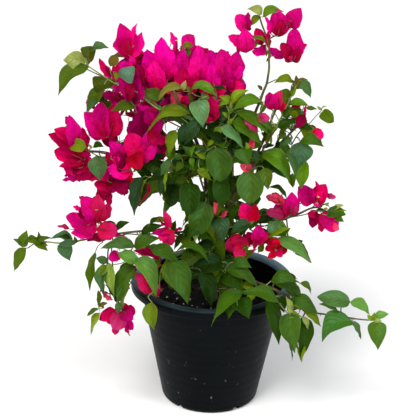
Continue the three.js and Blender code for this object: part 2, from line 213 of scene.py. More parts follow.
def tube(store, line, radius, sides, slot, relief=None, cap=True):
    """A tapering closed tube. relief(angle, distance) swells it."""
    tan, a, b = frames_along(line)
    ang = np.arange(sides) * 2 * math.pi / sides
    dist = np.concatenate(((0,), np.cumsum(np.linalg.norm(np.diff(line, axis=0), axis=1))))
    r = np.asarray(radius, float)[:, None] * np.ones((1, sides))
    if relief is not None:
        r = r * relief(ang[None, :], dist[:, None])
    v = line[:, None] + r[..., None] * (np.cos(ang)[None, :, None] * a[:, None] + np.sin(ang)[None, :, None] * b[:, None])
    n = len(line)
    i, k = np.meshgrid(np.arange(n - 1), np.arange(sides), indexing="ij")
    k2 = (k + 1) % sides
    quads = np.stack((i * sides + k, i * sides + k2, (i + 1) * sides + k2, (i + 1) * sides + k), -1).reshape(-1, 4)
    uv = np.stack((np.broadcast_to(ang / (2 * math.pi), (n, sides)), np.broadcast_to(dist[:, None] * 20, (n, sides))), -1).reshape(-1, 2)
    verts = v.reshape(-1, 3)
    tris = None
    if cap:
        verts = np.vstack((verts, line[0] - tan[0] * r[0].mean() * 0.4, line[-1] + tan[-1] * r[-1].mean() * 0.6))
        uv = np.vstack((uv, (0, 0), (0, 1)))
        c0, c1 = n * sides, n * sides + 1
        kk = np.arange(sides)
        tris = np.vstack((np.stack((np.full(sides, c0), (kk + 1) % sides, kk), 1),
                          np.stack((np.full(sides, c1), (n - 1) * sides + kk, (n - 1) * sides + (kk + 1) % sides), 1)))
    store.add(verts, quads, slot, uv, tris)


# ------------------------------------------------------------------ blades
# Half width along the blade, from its foot to its tip.
OUTLINES = {
    "leaf": ((0, .03, .09, .18, .30, .45, .60, .73, .84, .92, 1), (.03, .22, .58, .88, 1, .96, .78, .54, .30, .14, .015)),
    "heart": ((0, .02, .07, .15, .27, .42, .58, .72, .84, .93, 1), (.05, .42, .80, .97, 1, .90, .70, .47, .26, .11, .015)),
    "lance": ((0, .05, .15, .30, .45, .60, .75, .88, .95, 1), (.04, .28, .68, .96, 1, .88, .62, .32, .15, .02)),
    "bract": ((0, .04, .12, .25, .42, .58, .72, .84, .93, 1), (.05, .34, .70, .95, 1, .93, .76, .52, .29, .03)),
    "round": ((0, .04, .12, .25, .42, .60, .76, .88, .96, 1), (.06, .42, .78, .98, 1, .95, .80, .58, .33, .06)),
    "disc": ((0, .03, .10, .22, .40, .58, .74, .87, .95, 1), (.06, .42, .78, .97, 1, .98, .88, .64, .30, .02)),
    "ovate": ((0, .03, .10, .22, .38, .55, .70, .83, .93, 1), (.06, .40, .72, .92, 1, .94, .78, .54, .28, .02)),
    "fan": ((0, .08, .20, .35, .50, .62, .75, .88, 1), (.10, .42, .68, .87, 1, .92, .68, .37, .02)),
    "flag": ((0, .10, .30, .50, .70, .85, .95, 1), (.20, .40, .62, .78, .94, 1, .86, .25)),
    "peak": ((0, .05, .14, .28, .42, .56, .70, .84, .94, 1), (.08, .46, .80, .99, 1, .84, .60, .34, .14, .01)),
}


def blade_grid(p0, p1, normal, width, outline, nu, nv, bow=.12, fold=.2, cup=.1, wave=0, waves=2.5, phase=(0, 0), twist=0, sickle=0, lop=0, pleat=0):
    chord = p1 - p0
    length = np.linalg.norm(chord)
    d = chord / length
    n = unit(normal - d * (normal @ d))
    s = np.cross(d, n)
    x = np.linspace(0, 1, nv + 1)
    t = 0.4 * 0.5 * (1 - np.cos(math.pi * x)) + 0.6 * x
    sv = np.linspace(-1, 1, nu + 1)
    half = width / 2 * np.interp(t, *OUTLINES[outline])
    lean = 1 + 0.7 * (0.5 - t)
    h = length * bow * 4 * t * (1 - t) * lean
    dh = bow * (4 * (1 - 2 * t) * lean - 2.8 * t * (1 - t))
    alpha = np.arctan(dh)
    tangent_n = np.cos(alpha)[:, None] * n - np.sin(alpha)[:, None] * d
    tw = twist * (t - 0.35)
    side = np.cos(tw)[:, None] * s + np.sin(tw)[:, None] * tangent_n
    nn = -np.sin(tw)[:, None] * s + np.cos(tw)[:, None] * tangent_n
    mid = p0 + np.outer(length * t, d) + h[:, None] * n + np.outer(sickle * length * np.sin(math.pi * t), s)
    T, S = t[:, None], sv[None, :]
    w = half[:, None] * (1 + lop * S)
    a = np.abs(S)
    off = w * S * math.cos(fold)
    z = w * (a * math.sin(fold) - cup * S * S)
    if pleat:
        z = z + pleat * width * np.cos(2 * math.pi * (1.15 * S + 0.1 * np.sin(5 * T + phase[0]))) * np.sin(math.pi * T) ** 0.7
    if wave:
        ph = np.where(S < 0, phase[0], phase[1])
        z = z + wave * width * a ** 2 * np.sin(2 * math.pi * waves * T + ph) * np.clip(6 * T, 0, 1) * np.clip(0.25 + 3 * (1 - T), 0, 1)
    return mid[:, None] + off[..., None] * side[:, None] + z[..., None] * nn[:, None], T * np.ones_like(S), S * np.ones_like(T)


def blade(store, slot, p0, p1, normal, width, outline="leaf", nu=6, nv=12, **shape):
    g, t, s = blade_grid(p0, p1, normal, width, outline, nu, nv, **shape)
    i, k = np.meshgrid(np.arange(nv), np.arange(nu), indexing="ij")
    r = nu + 1
    quads = np.stack((i * r + k, i * r + k + 1, (i + 1) * r + k + 1, (i + 1) * r + k), -1).reshape(-1, 4)
    store.add(g.reshape(-1, 3), quads, slot, np.stack((0.5 + 0.5 * s, t), -1).reshape(-1, 2))


# ------------------------------------------------------------------ colours
def srgb(*c):
    return tuple((x / 255 / 12.92 if x <= 10 else ((x / 255 + 0.055) / 1.055) ** 2.4) for x in c) + (1.0,)


LEAF_TONES = {  # colour of the lit blade, and of the light that comes through it
    "d": (srgb(38, 68, 3), srgb(66, 108, 2)),
    "e": (srgb(27, 50, 2), srgb(50, 86, 2)),
    "m": (srgb(54, 88, 14), srgb(92, 134, 6)),
    "l": (srgb(62, 96, 24), srgb(104, 144, 14)),
    "n": (srgb(104, 92, 30), srgb(132, 108, 20)),
    "o": (srgb(98, 120, 4), srgb(146, 166, 2)),
    "q": (srgb(68, 92, 2), srgb(110, 142, 2)),
    "s": (srgb(138, 136, 52), srgb(172, 170, 58)),
    "y": (srgb(114, 142, 14), srgb(166, 188, 10)),
    "p": (srgb(150, 162, 86), srgb(180, 190, 84)),
    "g": (srgb(80, 122, 16), srgb(132, 176, 10)),
    "b": (srgb(66, 102, 48), srgb(100, 142, 38)),
    "c": (srgb(34, 66, 24), srgb(64, 106, 18)),
    "v": (srgb(96, 142, 84), srgb(138, 182, 76)),
    "w": (srgb(88, 134, 56), srgb(126, 176, 46)),
    "u": (srgb(50, 96, 38), srgb(84, 142, 32)),
    "h": (srgb(70, 106, 4), srgb(116, 158, 2)),
    "k": (srgb(60, 74, 4), srgb(98, 114, 4)),
    "x": (srgb(134, 160, 58), srgb(170, 194, 60)),
    "z": (srgb(62, 98, 66), srgb(92, 134, 60)),
    "j": (srgb(84, 122, 96), srgb(110, 144, 92)),
}
BRACT_TONES = {  # towards the tip, towards the foot
    "mg": (srgb(245, 0, 166), srgb(224, 0, 98)),
    "ht": (srgb(248, 8, 158), srgb(236, 0, 98)),
    "mw": (srgb(226, 4, 134), srgb(186, 0, 74)),
    "pu": (srgb(220, 0, 136), srgb(172, 0, 72)),
    "pd": (srgb(182, 0, 104), srgb(140, 0, 58)),
    "pe": (srgb(206, 2, 118), srgb(162, 0, 66)),
    "cd": (srgb(162, 0, 60), srgb(124, 0, 34)),
    "rk": (srgb(186, 0, 46), srgb(156, 0, 24)),
    "rt": (srgb(204, 24, 88), srgb(180, 6, 54)),
    "rw": (srgb(222, 30, 104), srgb(198, 10, 64)),
    "cr": (srgb(206, 0, 86), srgb(160, 0, 44)),
    "dk": (srgb(156, 0, 66), srgb(112, 0, 36)),
    "rp": (srgb(242, 6, 112), srgb(212, 0, 58)),
    "rd": (srgb(218, 2, 54), srgb(186, 0, 30)),
    "co": (srgb(250, 78, 118), srgb(238, 52, 80)),
    "rs": (srgb(196, 50, 112), srgb(164, 16, 66)),
    "tube": (srgb(200, 34, 84), srgb(168, 58, 64)),
    "star": (srgb(246, 238, 196), srgb(226, 220, 150)),
}
LEAF_KEYS, BRACT_KEYS = list(LEAF_TONES), list(BRACT_TONES)


def material(name):
    m = bpy.data.materials.new(name)
    m.use_nodes = True
    nt = m.node_tree
    nt.nodes.clear()
    out = nt.nodes.new("ShaderNodeOutputMaterial")
    bsdf = nt.nodes.new("ShaderNodeBsdfPrincipled")
    nt.links.new(bsdf.outputs["BSDF"], out.inputs["Surface"])
    return m, nt, bsdf, out


def node(nt, kind, inputs=None, **props):
    n = nt.nodes.new(kind)
    for k, v in props.items():
        setattr(n, k, v)
    for k, v in (inputs or {}).items():
        if isinstance(v, bpy.types.NodeSocket):
            nt.links.new(v, n.inputs[k])
        else:
            n.inputs[k].default_value = v
    return n


def math_node(nt, op, a, b=0.0, c=None, clamp=False):
    ins = {0: a, 1: b}
    if c is not None:
        ins[2] = c
    return node(nt, "ShaderNodeMath", ins, operation=op, use_clamp=clamp).outputs[0]


def mixed(nt, fac, a, b, blend="MIX"):
    n = nt.nodes.new("ShaderNodeMix")
    n.data_type, n.blend_type = "RGBA", blend
    for sock, val in ((n.inputs[0], fac), (n.inputs[6], a), (n.inputs[7], b)):
        if isinstance(val, bpy.types.NodeSocket):
            nt.links.new(val, sock)
        else:
            sock.default_value = val
    return n.outputs[2]


def veins(nt, count, slope):
    """0 to 1: 1 on the midrib and the side veins of a blade, from its UV map."""
    uv = node(nt, "ShaderNodeUVMap", uv_map="UVMap").outputs[0]
    sep = node(nt, "ShaderNodeSeparateXYZ", {0: uv})
    across = math_node(nt, "ABSOLUTE", math_node(nt, "MULTIPLY_ADD", sep.outputs[0], 2.0, -1.0))
    along = sep.outputs[1]
    bent = math_node(nt, "POWER", across, 1.35)
    phase = math_node(nt, "SUBTRACT", math_node(nt, "MULTIPLY", along, count), math_node(nt, "MULTIPLY", bent, slope))
    near = math_node(nt, "ABSOLUTE", math_node(nt, "SUBTRACT", math_node(nt, "FRACT", phase), 0.5))
    side = math_node(nt, "SUBTRACT", 1.0, math_node(nt, "MULTIPLY", near, 8.0), clamp=True)
    side = math_node(nt, "MULTIPLY", side, math_node(nt, "SUBTRACT", 0.9, across, clamp=True))
    rib = math_node(nt, "SUBTRACT", 1.0, math_node(nt, "MULTIPLY", across, 12.0), clamp=True)
    return rib, side, near, across, along, sep.outputs[0]


def leaf_material(name, lit, through, gloss):
    m, nt, bsdf, out = material(name)
    rib, side, near, across, along, u = veins(nt, 4.6, 2.5)
    geo = node(nt, "ShaderNodeTexCoord").outputs["Object"]
    blotch = node(nt, "ShaderNodeTexNoise", {"Vector": geo, "Scale": 60.0, "Detail": 3.0, "Roughness": 0.55}).outputs[0]
    fine = node(nt, "ShaderNodeTexNoise", {"Vector": geo, "Scale": 900.0, "Detail": 2.0}).outputs[0]
    which = node(nt, "ShaderNodeTexNoise", {"Vector": geo, "Scale": 17.0, "Detail": 1.0}).outputs[0]
    # One half of a blade is painted a little lighter, with a cool painted sheen, and the other a little darker: painted
    # light and shade of the fold.
    half = math_node(nt, "MULTIPLY_ADD", math_node(nt, "SUBTRACT", u, 0.5), 5.0, 0.5, clamp=True)
    half = math_node(nt, "MULTIPLY_ADD", half, 2.0, -1.0)
    way = node(nt, "ShaderNodeMapRange", {0: which, 1: 0.40, 2: 0.60, 3: -1.0, 4: 1.0}).outputs[0]
    lean = math_node(nt, "MULTIPLY", half, way)
    shade = node(nt, "ShaderNodeMapRange", {0: blotch, 1: 0.3, 2: 0.7, 3: 0.74, 4: 1.24}).outputs[0]
    shade = math_node(nt, "MULTIPLY", shade, math_node(nt, "MULTIPLY_ADD", lean, 0.15, 1.0))
    # Darker towards the foot of the blade: painted shade.
    shade = math_node(nt, "MULTIPLY", shade, node(nt, "ShaderNodeMapRange", {0: along, 1: 0.0, 2: 0.30, 3: 0.78, 4: 1.0}).outputs[0])
    dark = tuple(c * 0.55 for c in lit[:3]) + (1.0,)
    light = tuple(min(1, c * 1.5 + 0.012) for c in lit[:3]) + (1.0,)
    painted_sheen = (min(1, lit[0] * 0.96 + 0.010), min(1, lit[1] * 1.16 + 0.022), min(1, lit[2] * 1.6 + 0.034), 1.0)
    painted_rim_shade = (lit[0] * 0.66, lit[1] * 0.76, lit[2] * 0.45, 1.0)
    base = mixed(nt, math_node(nt, "MULTIPLY", math_node(nt, "MAXIMUM", lean, 0.0), 0.42), lit, painted_sheen)
    # Darker and more saturated towards the rims: painted shade.
    base = mixed(nt, node(nt, "ShaderNodeMapRange", {0: across, 1: 0.35, 2: 0.90, 3: 0.0, 4: 0.50}).outputs[0], base, painted_rim_shade)
    base = mixed(nt, math_node(nt, "MULTIPLY", rib, 0.55), base, light)
    # Darker along the side veins: painted shade in their grooves.
    base = mixed(nt, math_node(nt, "MULTIPLY", side, 0.34), base, dark)
    grey = node(nt, "ShaderNodeCombineColor", {0: shade, 1: shade, 2: shade}).outputs[0]
    base = mixed(nt, 1.0, base, grey, "MULTIPLY")
    # Darker towards each side vein: painted shade that shows the blade swelling between the veins.
    base = mixed(nt, math_node(nt, "MULTIPLY", math_node(nt, "SUBTRACT", 1.0, math_node(nt, "MULTIPLY", near, 2.0)), 0.30), base, dark)
    # A thin lighter rim along the margin: a painted highlight.
    base = mixed(nt, math_node(nt, "MULTIPLY", math_node(nt, "POWER", across, 14.0), 0.60), base, light)
    nt.links.new(base, bsdf.inputs["Base Color"])
    rough = node(nt, "ShaderNodeMapRange", {0: fine, 1: 0.35, 2: 0.65, 3: 0.36, 4: 0.50}).outputs[0]
    nt.links.new(rough, bsdf.inputs["Roughness"])
    bsdf.inputs["Specular IOR Level"].default_value = gloss
    height = math_node(nt, "ADD", math_node(nt, "MULTIPLY", near, 0.95), math_node(nt, "MULTIPLY", math_node(nt, "MAXIMUM", rib, side), -0.40))
    height = math_node(nt, "ADD", height, math_node(nt, "MULTIPLY", fine, 0.16))
    bump = node(nt, "ShaderNodeBump", {"Height": height, "Strength": 0.60, "Distance": 0.0018}).outputs[0]
    nt.links.new(bump, bsdf.inputs["Normal"])
    trans = node(nt, "ShaderNodeBsdfTranslucent", {"Color": through, "Normal": bump})
    mix = node(nt, "ShaderNodeMixShader", {0: 0.36, 1: bsdf.outputs[0], 2: trans.outputs[0]})
    nt.links.new(mix.outputs[0], out.inputs["Surface"])
    return m


def bract_material(name, tip, foot):
    m, nt, bsdf, out = material(name)
    rib, side, near, across, along, u = veins(nt, 5.0, 1.9)
    geo = node(nt, "ShaderNodeTexCoord").outputs["Object"]
    blotch = node(nt, "ShaderNodeTexNoise", {"Vector": geo, "Scale": 52.0, "Detail": 3.0, "Roughness": 0.55, "Distortion": 0.8}).outputs[0]
    crumple = node(nt, "ShaderNodeTexNoise", {"Vector": geo, "Scale": 70.0, "Detail": 3.0, "Roughness": 0.45, "Distortion": 0.9}).outputs[0]
    # Fine wrinkles run along each bract: in the bump, and in the colour as streaks of painted shade.
    far = node(nt, "ShaderNodeSeparateXYZ", {0: geo}).outputs[2]
    grain = node(nt, "ShaderNodeCombineXYZ", {0: math_node(nt, "MULTIPLY", u, 11.0), 1: math_node(nt, "MULTIPLY", along, 2.6), 2: math_node(nt, "MULTIPLY", far, 40.0)}).outputs[0]
    streak = node(nt, "ShaderNodeTexNoise", {"Vector": grain, "Scale": 1.0, "Detail": 3.0, "Roughness": 0.6, "Distortion": 0.4}).outputs[0]
    reach = math_node(nt, "ADD", along, math_node(nt, "MULTIPLY", math_node(nt, "SUBTRACT", crumple, 0.5), 0.45))
    grade = node(nt, "ShaderNodeMapRange", {0: reach, 1: 0.12, 2: 0.78, 3: 0.0, 4: 1.0}).outputs[0]
    base = mixed(nt, grade, foot, tip)
    # Darker near the midrib at the foot: painted shade in the flower's throat.
    deep = tuple(c * 0.55 for c in foot[:3]) + (1.0,)
    painted_throat_shade = math_node(nt, "MULTIPLY", math_node(nt, "SUBTRACT", 1.0, math_node(nt, "MULTIPLY", across, 1.9), clamp=True), math_node(nt, "SUBTRACT", 1.0, math_node(nt, "MULTIPLY", along, 1.35), clamp=True))
    base = mixed(nt, math_node(nt, "MULTIPLY", painted_throat_shade, 0.45), base, deep)
    base = mixed(nt, math_node(nt, "MULTIPLY", math_node(nt, "MAXIMUM", rib, side), 0.34), base, deep)
    shade = node(nt, "ShaderNodeMapRange", {0: blotch, 1: 0.3, 2: 0.7, 3: 0.84, 4: 1.18}).outputs[0]
    shade = math_node(nt, "MULTIPLY", shade, node(nt, "ShaderNodeMapRange", {0: streak, 1: 0.32, 2: 0.68, 3: 0.88, 4: 1.14}).outputs[0])
    grey = node(nt, "ShaderNodeCombineColor", {0: shade, 1: shade, 2: shade}).outputs[0]
    base = mixed(nt, 1.0, base, grey, "MULTIPLY")
    rim = math_node(nt, "MAXIMUM", math_node(nt, "POWER", across, 9.0), math_node(nt, "POWER", along, 16.0), clamp=True)
    base = mixed(nt, math_node(nt, "MULTIPLY", rim, 0.45), base, tuple(c * 0.6 for c in tip[:3]) + (1.0,))
    nt.links.new(base, bsdf.inputs["Base Color"])
    bsdf.inputs["Roughness"].default_value = 0.75
    bsdf.inputs["Specular IOR Level"].default_value = 0.06
    height = math_node(nt, "ADD", math_node(nt, "MULTIPLY", near, 0.5), math_node(nt, "MULTIPLY", crumple, 2.6))
    height = math_node(nt, "ADD", height, math_node(nt, "MULTIPLY", streak, 0.9))
    bump = node(nt, "ShaderNodeBump", {"Height": height, "Strength": 0.7, "Distance": 0.0024}).outputs[0]
    nt.links.new(bump, bsdf.inputs["Normal"])
    trans = node(nt, "ShaderNodeBsdfTranslucent", {"Color": tuple(min(1, c * 1.05) for c in tip[:3]) + (1.0,), "Normal": bump})
    mix = node(nt, "ShaderNodeMixShader", {0: 0.36, 1: bsdf.outputs[0], 2: trans.outputs[0]})
    nt.links.new(mix.outputs[0], out.inputs["Surface"])
    return m


LEAF_MATS = [leaf_material("leaf_" + k, *LEAF_TONES[k], 0.20 if k in "bcvw" else 0.05 if k in "dek" else 0.12) for k in LEAF_KEYS]
BRACT_MATS = [bract_material("bract_" + k, *BRACT_TONES[k]) for k in BRACT_KEYS]


def bark_material(name, dark, light, rough, grain):
    m, nt, bsdf, out = material(name)
    geo = node(nt, "ShaderNodeTexCoord").outputs["Object"]
    big = node(nt, "ShaderNodeTexNoise", {"Vector": geo, "Scale": 60.0, "Detail": 5.0, "Roughness": 0.65}).outputs[0]
    small = node(nt, "ShaderNodeTexNoise", {"Vector": geo, "Scale": grain, "Detail": 4.0, "Roughness": 0.7}).outputs[0]
    pores = node(nt, "ShaderNodeTexVoronoi", {"Vector": geo, "Scale": 420.0}).outputs[0]
    f = node(nt, "ShaderNodeMapRange", {0: big, 1: 0.32, 2: 0.68}).outputs[0]
    base = mixed(nt, f, dark, light)
    pale = tuple(min(1, c * 1.7 + 0.03) for c in light[:3]) + (1.0,)
    spot = math_node(nt, "LESS_THAN", pores, 0.16)
    base = mixed(nt, math_node(nt, "MULTIPLY", spot, 0.35), base, pale)
    base = mixed(nt, math_node(nt, "MULTIPLY", small, 0.35), base, dark)
    nt.links.new(base, bsdf.inputs["Base Color"])
    bsdf.inputs["Roughness"].default_value = rough
    bsdf.inputs["Specular IOR Level"].default_value = 0.3
    bump = node(nt, "ShaderNodeBump", {"Height": small, "Strength": 0.5, "Distance": 0.0008}).outputs[0]
    nt.links.new(bump, bsdf.inputs["Normal"])
    return m


BARK = bark_material("bark", srgb(58, 50, 30), srgb(110, 98, 68), 0.82, 520.0)
TWIG_BROWN = bark_material("bark_twig", srgb(58, 52, 30), srgb(96, 88, 54), 0.7, 700.0)
TWIG_GREEN = bark_material("bark_green", srgb(88, 104, 46), srgb(132, 146, 78), 0.55, 900.0)
SHOOT_OLIVE = bark_material("bark_olive", srgb(54, 68, 26), srgb(104, 114, 58), 0.6, 900.0)
WOOD_MATS = [BARK, TWIG_BROWN, TWIG_GREEN, SHOOT_OLIVE]

# ------------------------------------------------------------------ limbs
# name: line in mm, radius at its start and its end, and the line's way on
# inside the mass that it grows into.
LIMBS = [
    ("trunk", [(0, 0, 150), (-1, 0, 190), (3, -3, 238)], 8.2, 6.8, []),
    ("stem_left", [(1, -3, 232), (-11, -5, 328), (-19, -9, 392), (-50, -22, 462)], 4.6, 2.2, [(-66, 10, 492)]),
    ("stem_right", [(4, -2, 230), (24, 0, 322), (56, -5, 385), (86, -5, 466)], 4.6, 1.3, [(98, 2, 494)]),
    ("stem_whip_lower", [(16, -1, 292), (24, 8, 352), (34, 12, 440)], 3.2, 2.2, [(57, 18, 455)]),
    ("stem_whip_upper", [(57, 18, 455), (73, 20, 505), (73, 20, 552), (53, 20, 612)], 2.1, 1.1, []),
    ("bough_arching_left", [(-66, -26, 462), (-112, -33, 492), (-186, -42, 529)], 1.5, 0.9, []),
    ("bough_left", [(-18, -8, 372), (-62, 14, 384), (-116, 0, 396)], 2.6, 1.5, [(-150, -8, 392)]),
    ("bough_far_left", [(-150, -8, 392), (-172, -12, 396), (-206, -18, 400)], 1.4, .9, []),
    ("bough_top_left", [(-120, 10, 440), (-140, 14, 488), (-140, 22, 512), (-133, 28, 544)], 2.1, 1.3, []),
    ("bough_right_shoulder", [(60, -4, 392), (84, 2, 404), (116, 14, 432)], 2.6, 1.7, [(128, 18, 452)]),
    ("bough_low_left", [(0, -4, 214), (-52, -40, 281), (-122, -59, 290), (-226, -60, 268)], 2.7, .9, []),
    ("bough_low_left_hanging", [(-128, -60, 289), (-152, -68, 272), (-154, -86, 240)], 1.5, .9, [(-150, -88, 196)]),
    ("bough_middle_right", [(3, -2, 222), (44, 2, 282), (98, 2, 291), (150, 0, 314)], 3.4, 1.4, [(172, 0, 322)]),
    ("bough_low_right", [(3, -4, 198), (44, -42, 214), (100, -74, 206), (146, -80, 180), (200, -80, 172)], 3.4, 0.9, []),
    ("bough_front_left", [(0, -3, 192), (-24, -48, 216), (-54, -96, 246)], 3.2, 1.8, [(-92, -100, 262)]),
    ("bough_back", [(2, 0, 232), (2, 40, 290), (-4, 96, 340)], 4, 2.4, [(-20, 98, 400)]),
]
MAIN = {"trunk", "stem_left", "stem_right", "stem_whip_lower", "bough_left", "bough_low_left", "bough_middle_right", "bough_low_right", "bough_front_left", "bough_back"}

# Masses of the CAD model: middle, half sizes, lean in degrees, the kind of
# crown, and how many seeded shoots fill it.
MASSES = [
    ("bloom_top_left", (-131, 30, 557), (22, 18, 29), 0, 4),
    ("bloom_top_centre_left", (-80, 85, 508), (46, 34, 42), 0, 17),
    ("bloom_top_centre_right", (2, 80, 505), (41, 34, 37), 0, 15),
    ("bloom_left_upper", (-145, 15, 482), (29, 24, 24), 25, 6),
    ("bloom_left_pair", (-166, -10, 447), (31, 20, 29), 10, 5),
    ("bloom_left_inner", (-105, 20, 440), (32, 30, 31), 0, 8),
    ("bloom_left_middle", (-132, -8, 385), (38, 28, 52), 14, 8),
    ("bloom_far_left", (-216, -20, 402), (27, 22, 50), -14, 5),
    ("bloom_low_left", (-187, -50, 310), (34, 26, 43), 42, 5),
    ("foliage_top_left_shoot", (-192, -40, 522), (30, 15, 50), 38, 0),
    ("foliage_upper_left", (-54, -35, 476), (44, 28, 28), 15, 6),
    ("foliage_upper_centre", (12, 2, 462), (50, 44, 30), 0, 12),
    ("foliage_centre", (14, -52, 394), (55, 38, 53), 0, 14),
    ("foliage_centre_left", (-60, -38, 374), (35, 36, 52), 12, 10),
    ("foliage_lower_centre", (-33, -40, 312), (44, 40, 31), 0, 9),
    ("bloom_whip_left", (40, 20, 572), (27, 18, 30), 0, 3),
    ("bloom_whip_right", (99, 20, 578), (30, 19, 39), 0, 3),
    ("foliage_right_shoulder", (109, 13, 497), (33, 18, 20), 0, 4),
    ("bloom_right_shoulder", (85, -3, 471), (23, 18, 18), 0, 2),
    ("foliage_right_upper", (124, 18, 443), (43, 26, 34), -15, 7),
    ("foliage_right_inner", (102, -20, 396), (38, 30, 39), 20, 7),
    ("bloom_right_inner", (99, 0, 322), (33, 22, 24), 0, 3),
    ("bloom_right_middle", (163, 0, 314), (37, 18, 37), 20, 3),
    ("foliage_right_lower", (113, -22, 270), (30, 26, 40), -38, 5),
    ("foliage_centre_low_right", (54, -45, 289), (41, 32, 38), 0, 8),
    ("foliage_low_left_upper", (-122, -98, 281), (42, 23, 24), 10, 5),
    ("foliage_low_left_inner", (-61, -108, 257), (34, 24, 44), 0, 6),
    ("foliage_low_left_hanging", (-147, -90, 224), (34, 18, 42), 0, 4),
    ("bloom_low_left_hanging", (-150, -87, 163), (35, 17, 25), 0, 2),
    ("foliage_left_shoot", (-250, -60, 264), (50, 14, 23), -6, 0),
    ("foliage_over_soil", (4, -64, 249), (42, 32, 31), 0, 8),
    ("foliage_over_rim", (24, -119, 226), (38, 32, 24), -10, 3),
    ("foliage_low_right_upper", (90, -80, 230), (53, 26, 20), 15, 6),
    ("foliage_low_right_hanging", (126, -101, 161), (32, 19, 49), 0, 4),
    ("foliage_right_shoot", (210, -80, 173), (57, 15, 34), 12, 0),
    ("foliage_back_upper_left", (-70, 104, 441), (54, 38, 40), 0, 19),
    ("foliage_back_upper_right", (31, 102, 427), (54, 40, 44), 0, 19),
    ("foliage_back_centre", (-5, 98, 352), (67, 44, 40), 0, 22),
    ("foliage_back_left", (-128, 82, 395), (42, 36, 42), 0, 15),
    ("foliage_back_right", (114, 72, 414), (42, 36, 42), 0, 15),
    ("foliage_back_low", (13, 90, 284), (62, 40, 36), 0, 17),
]

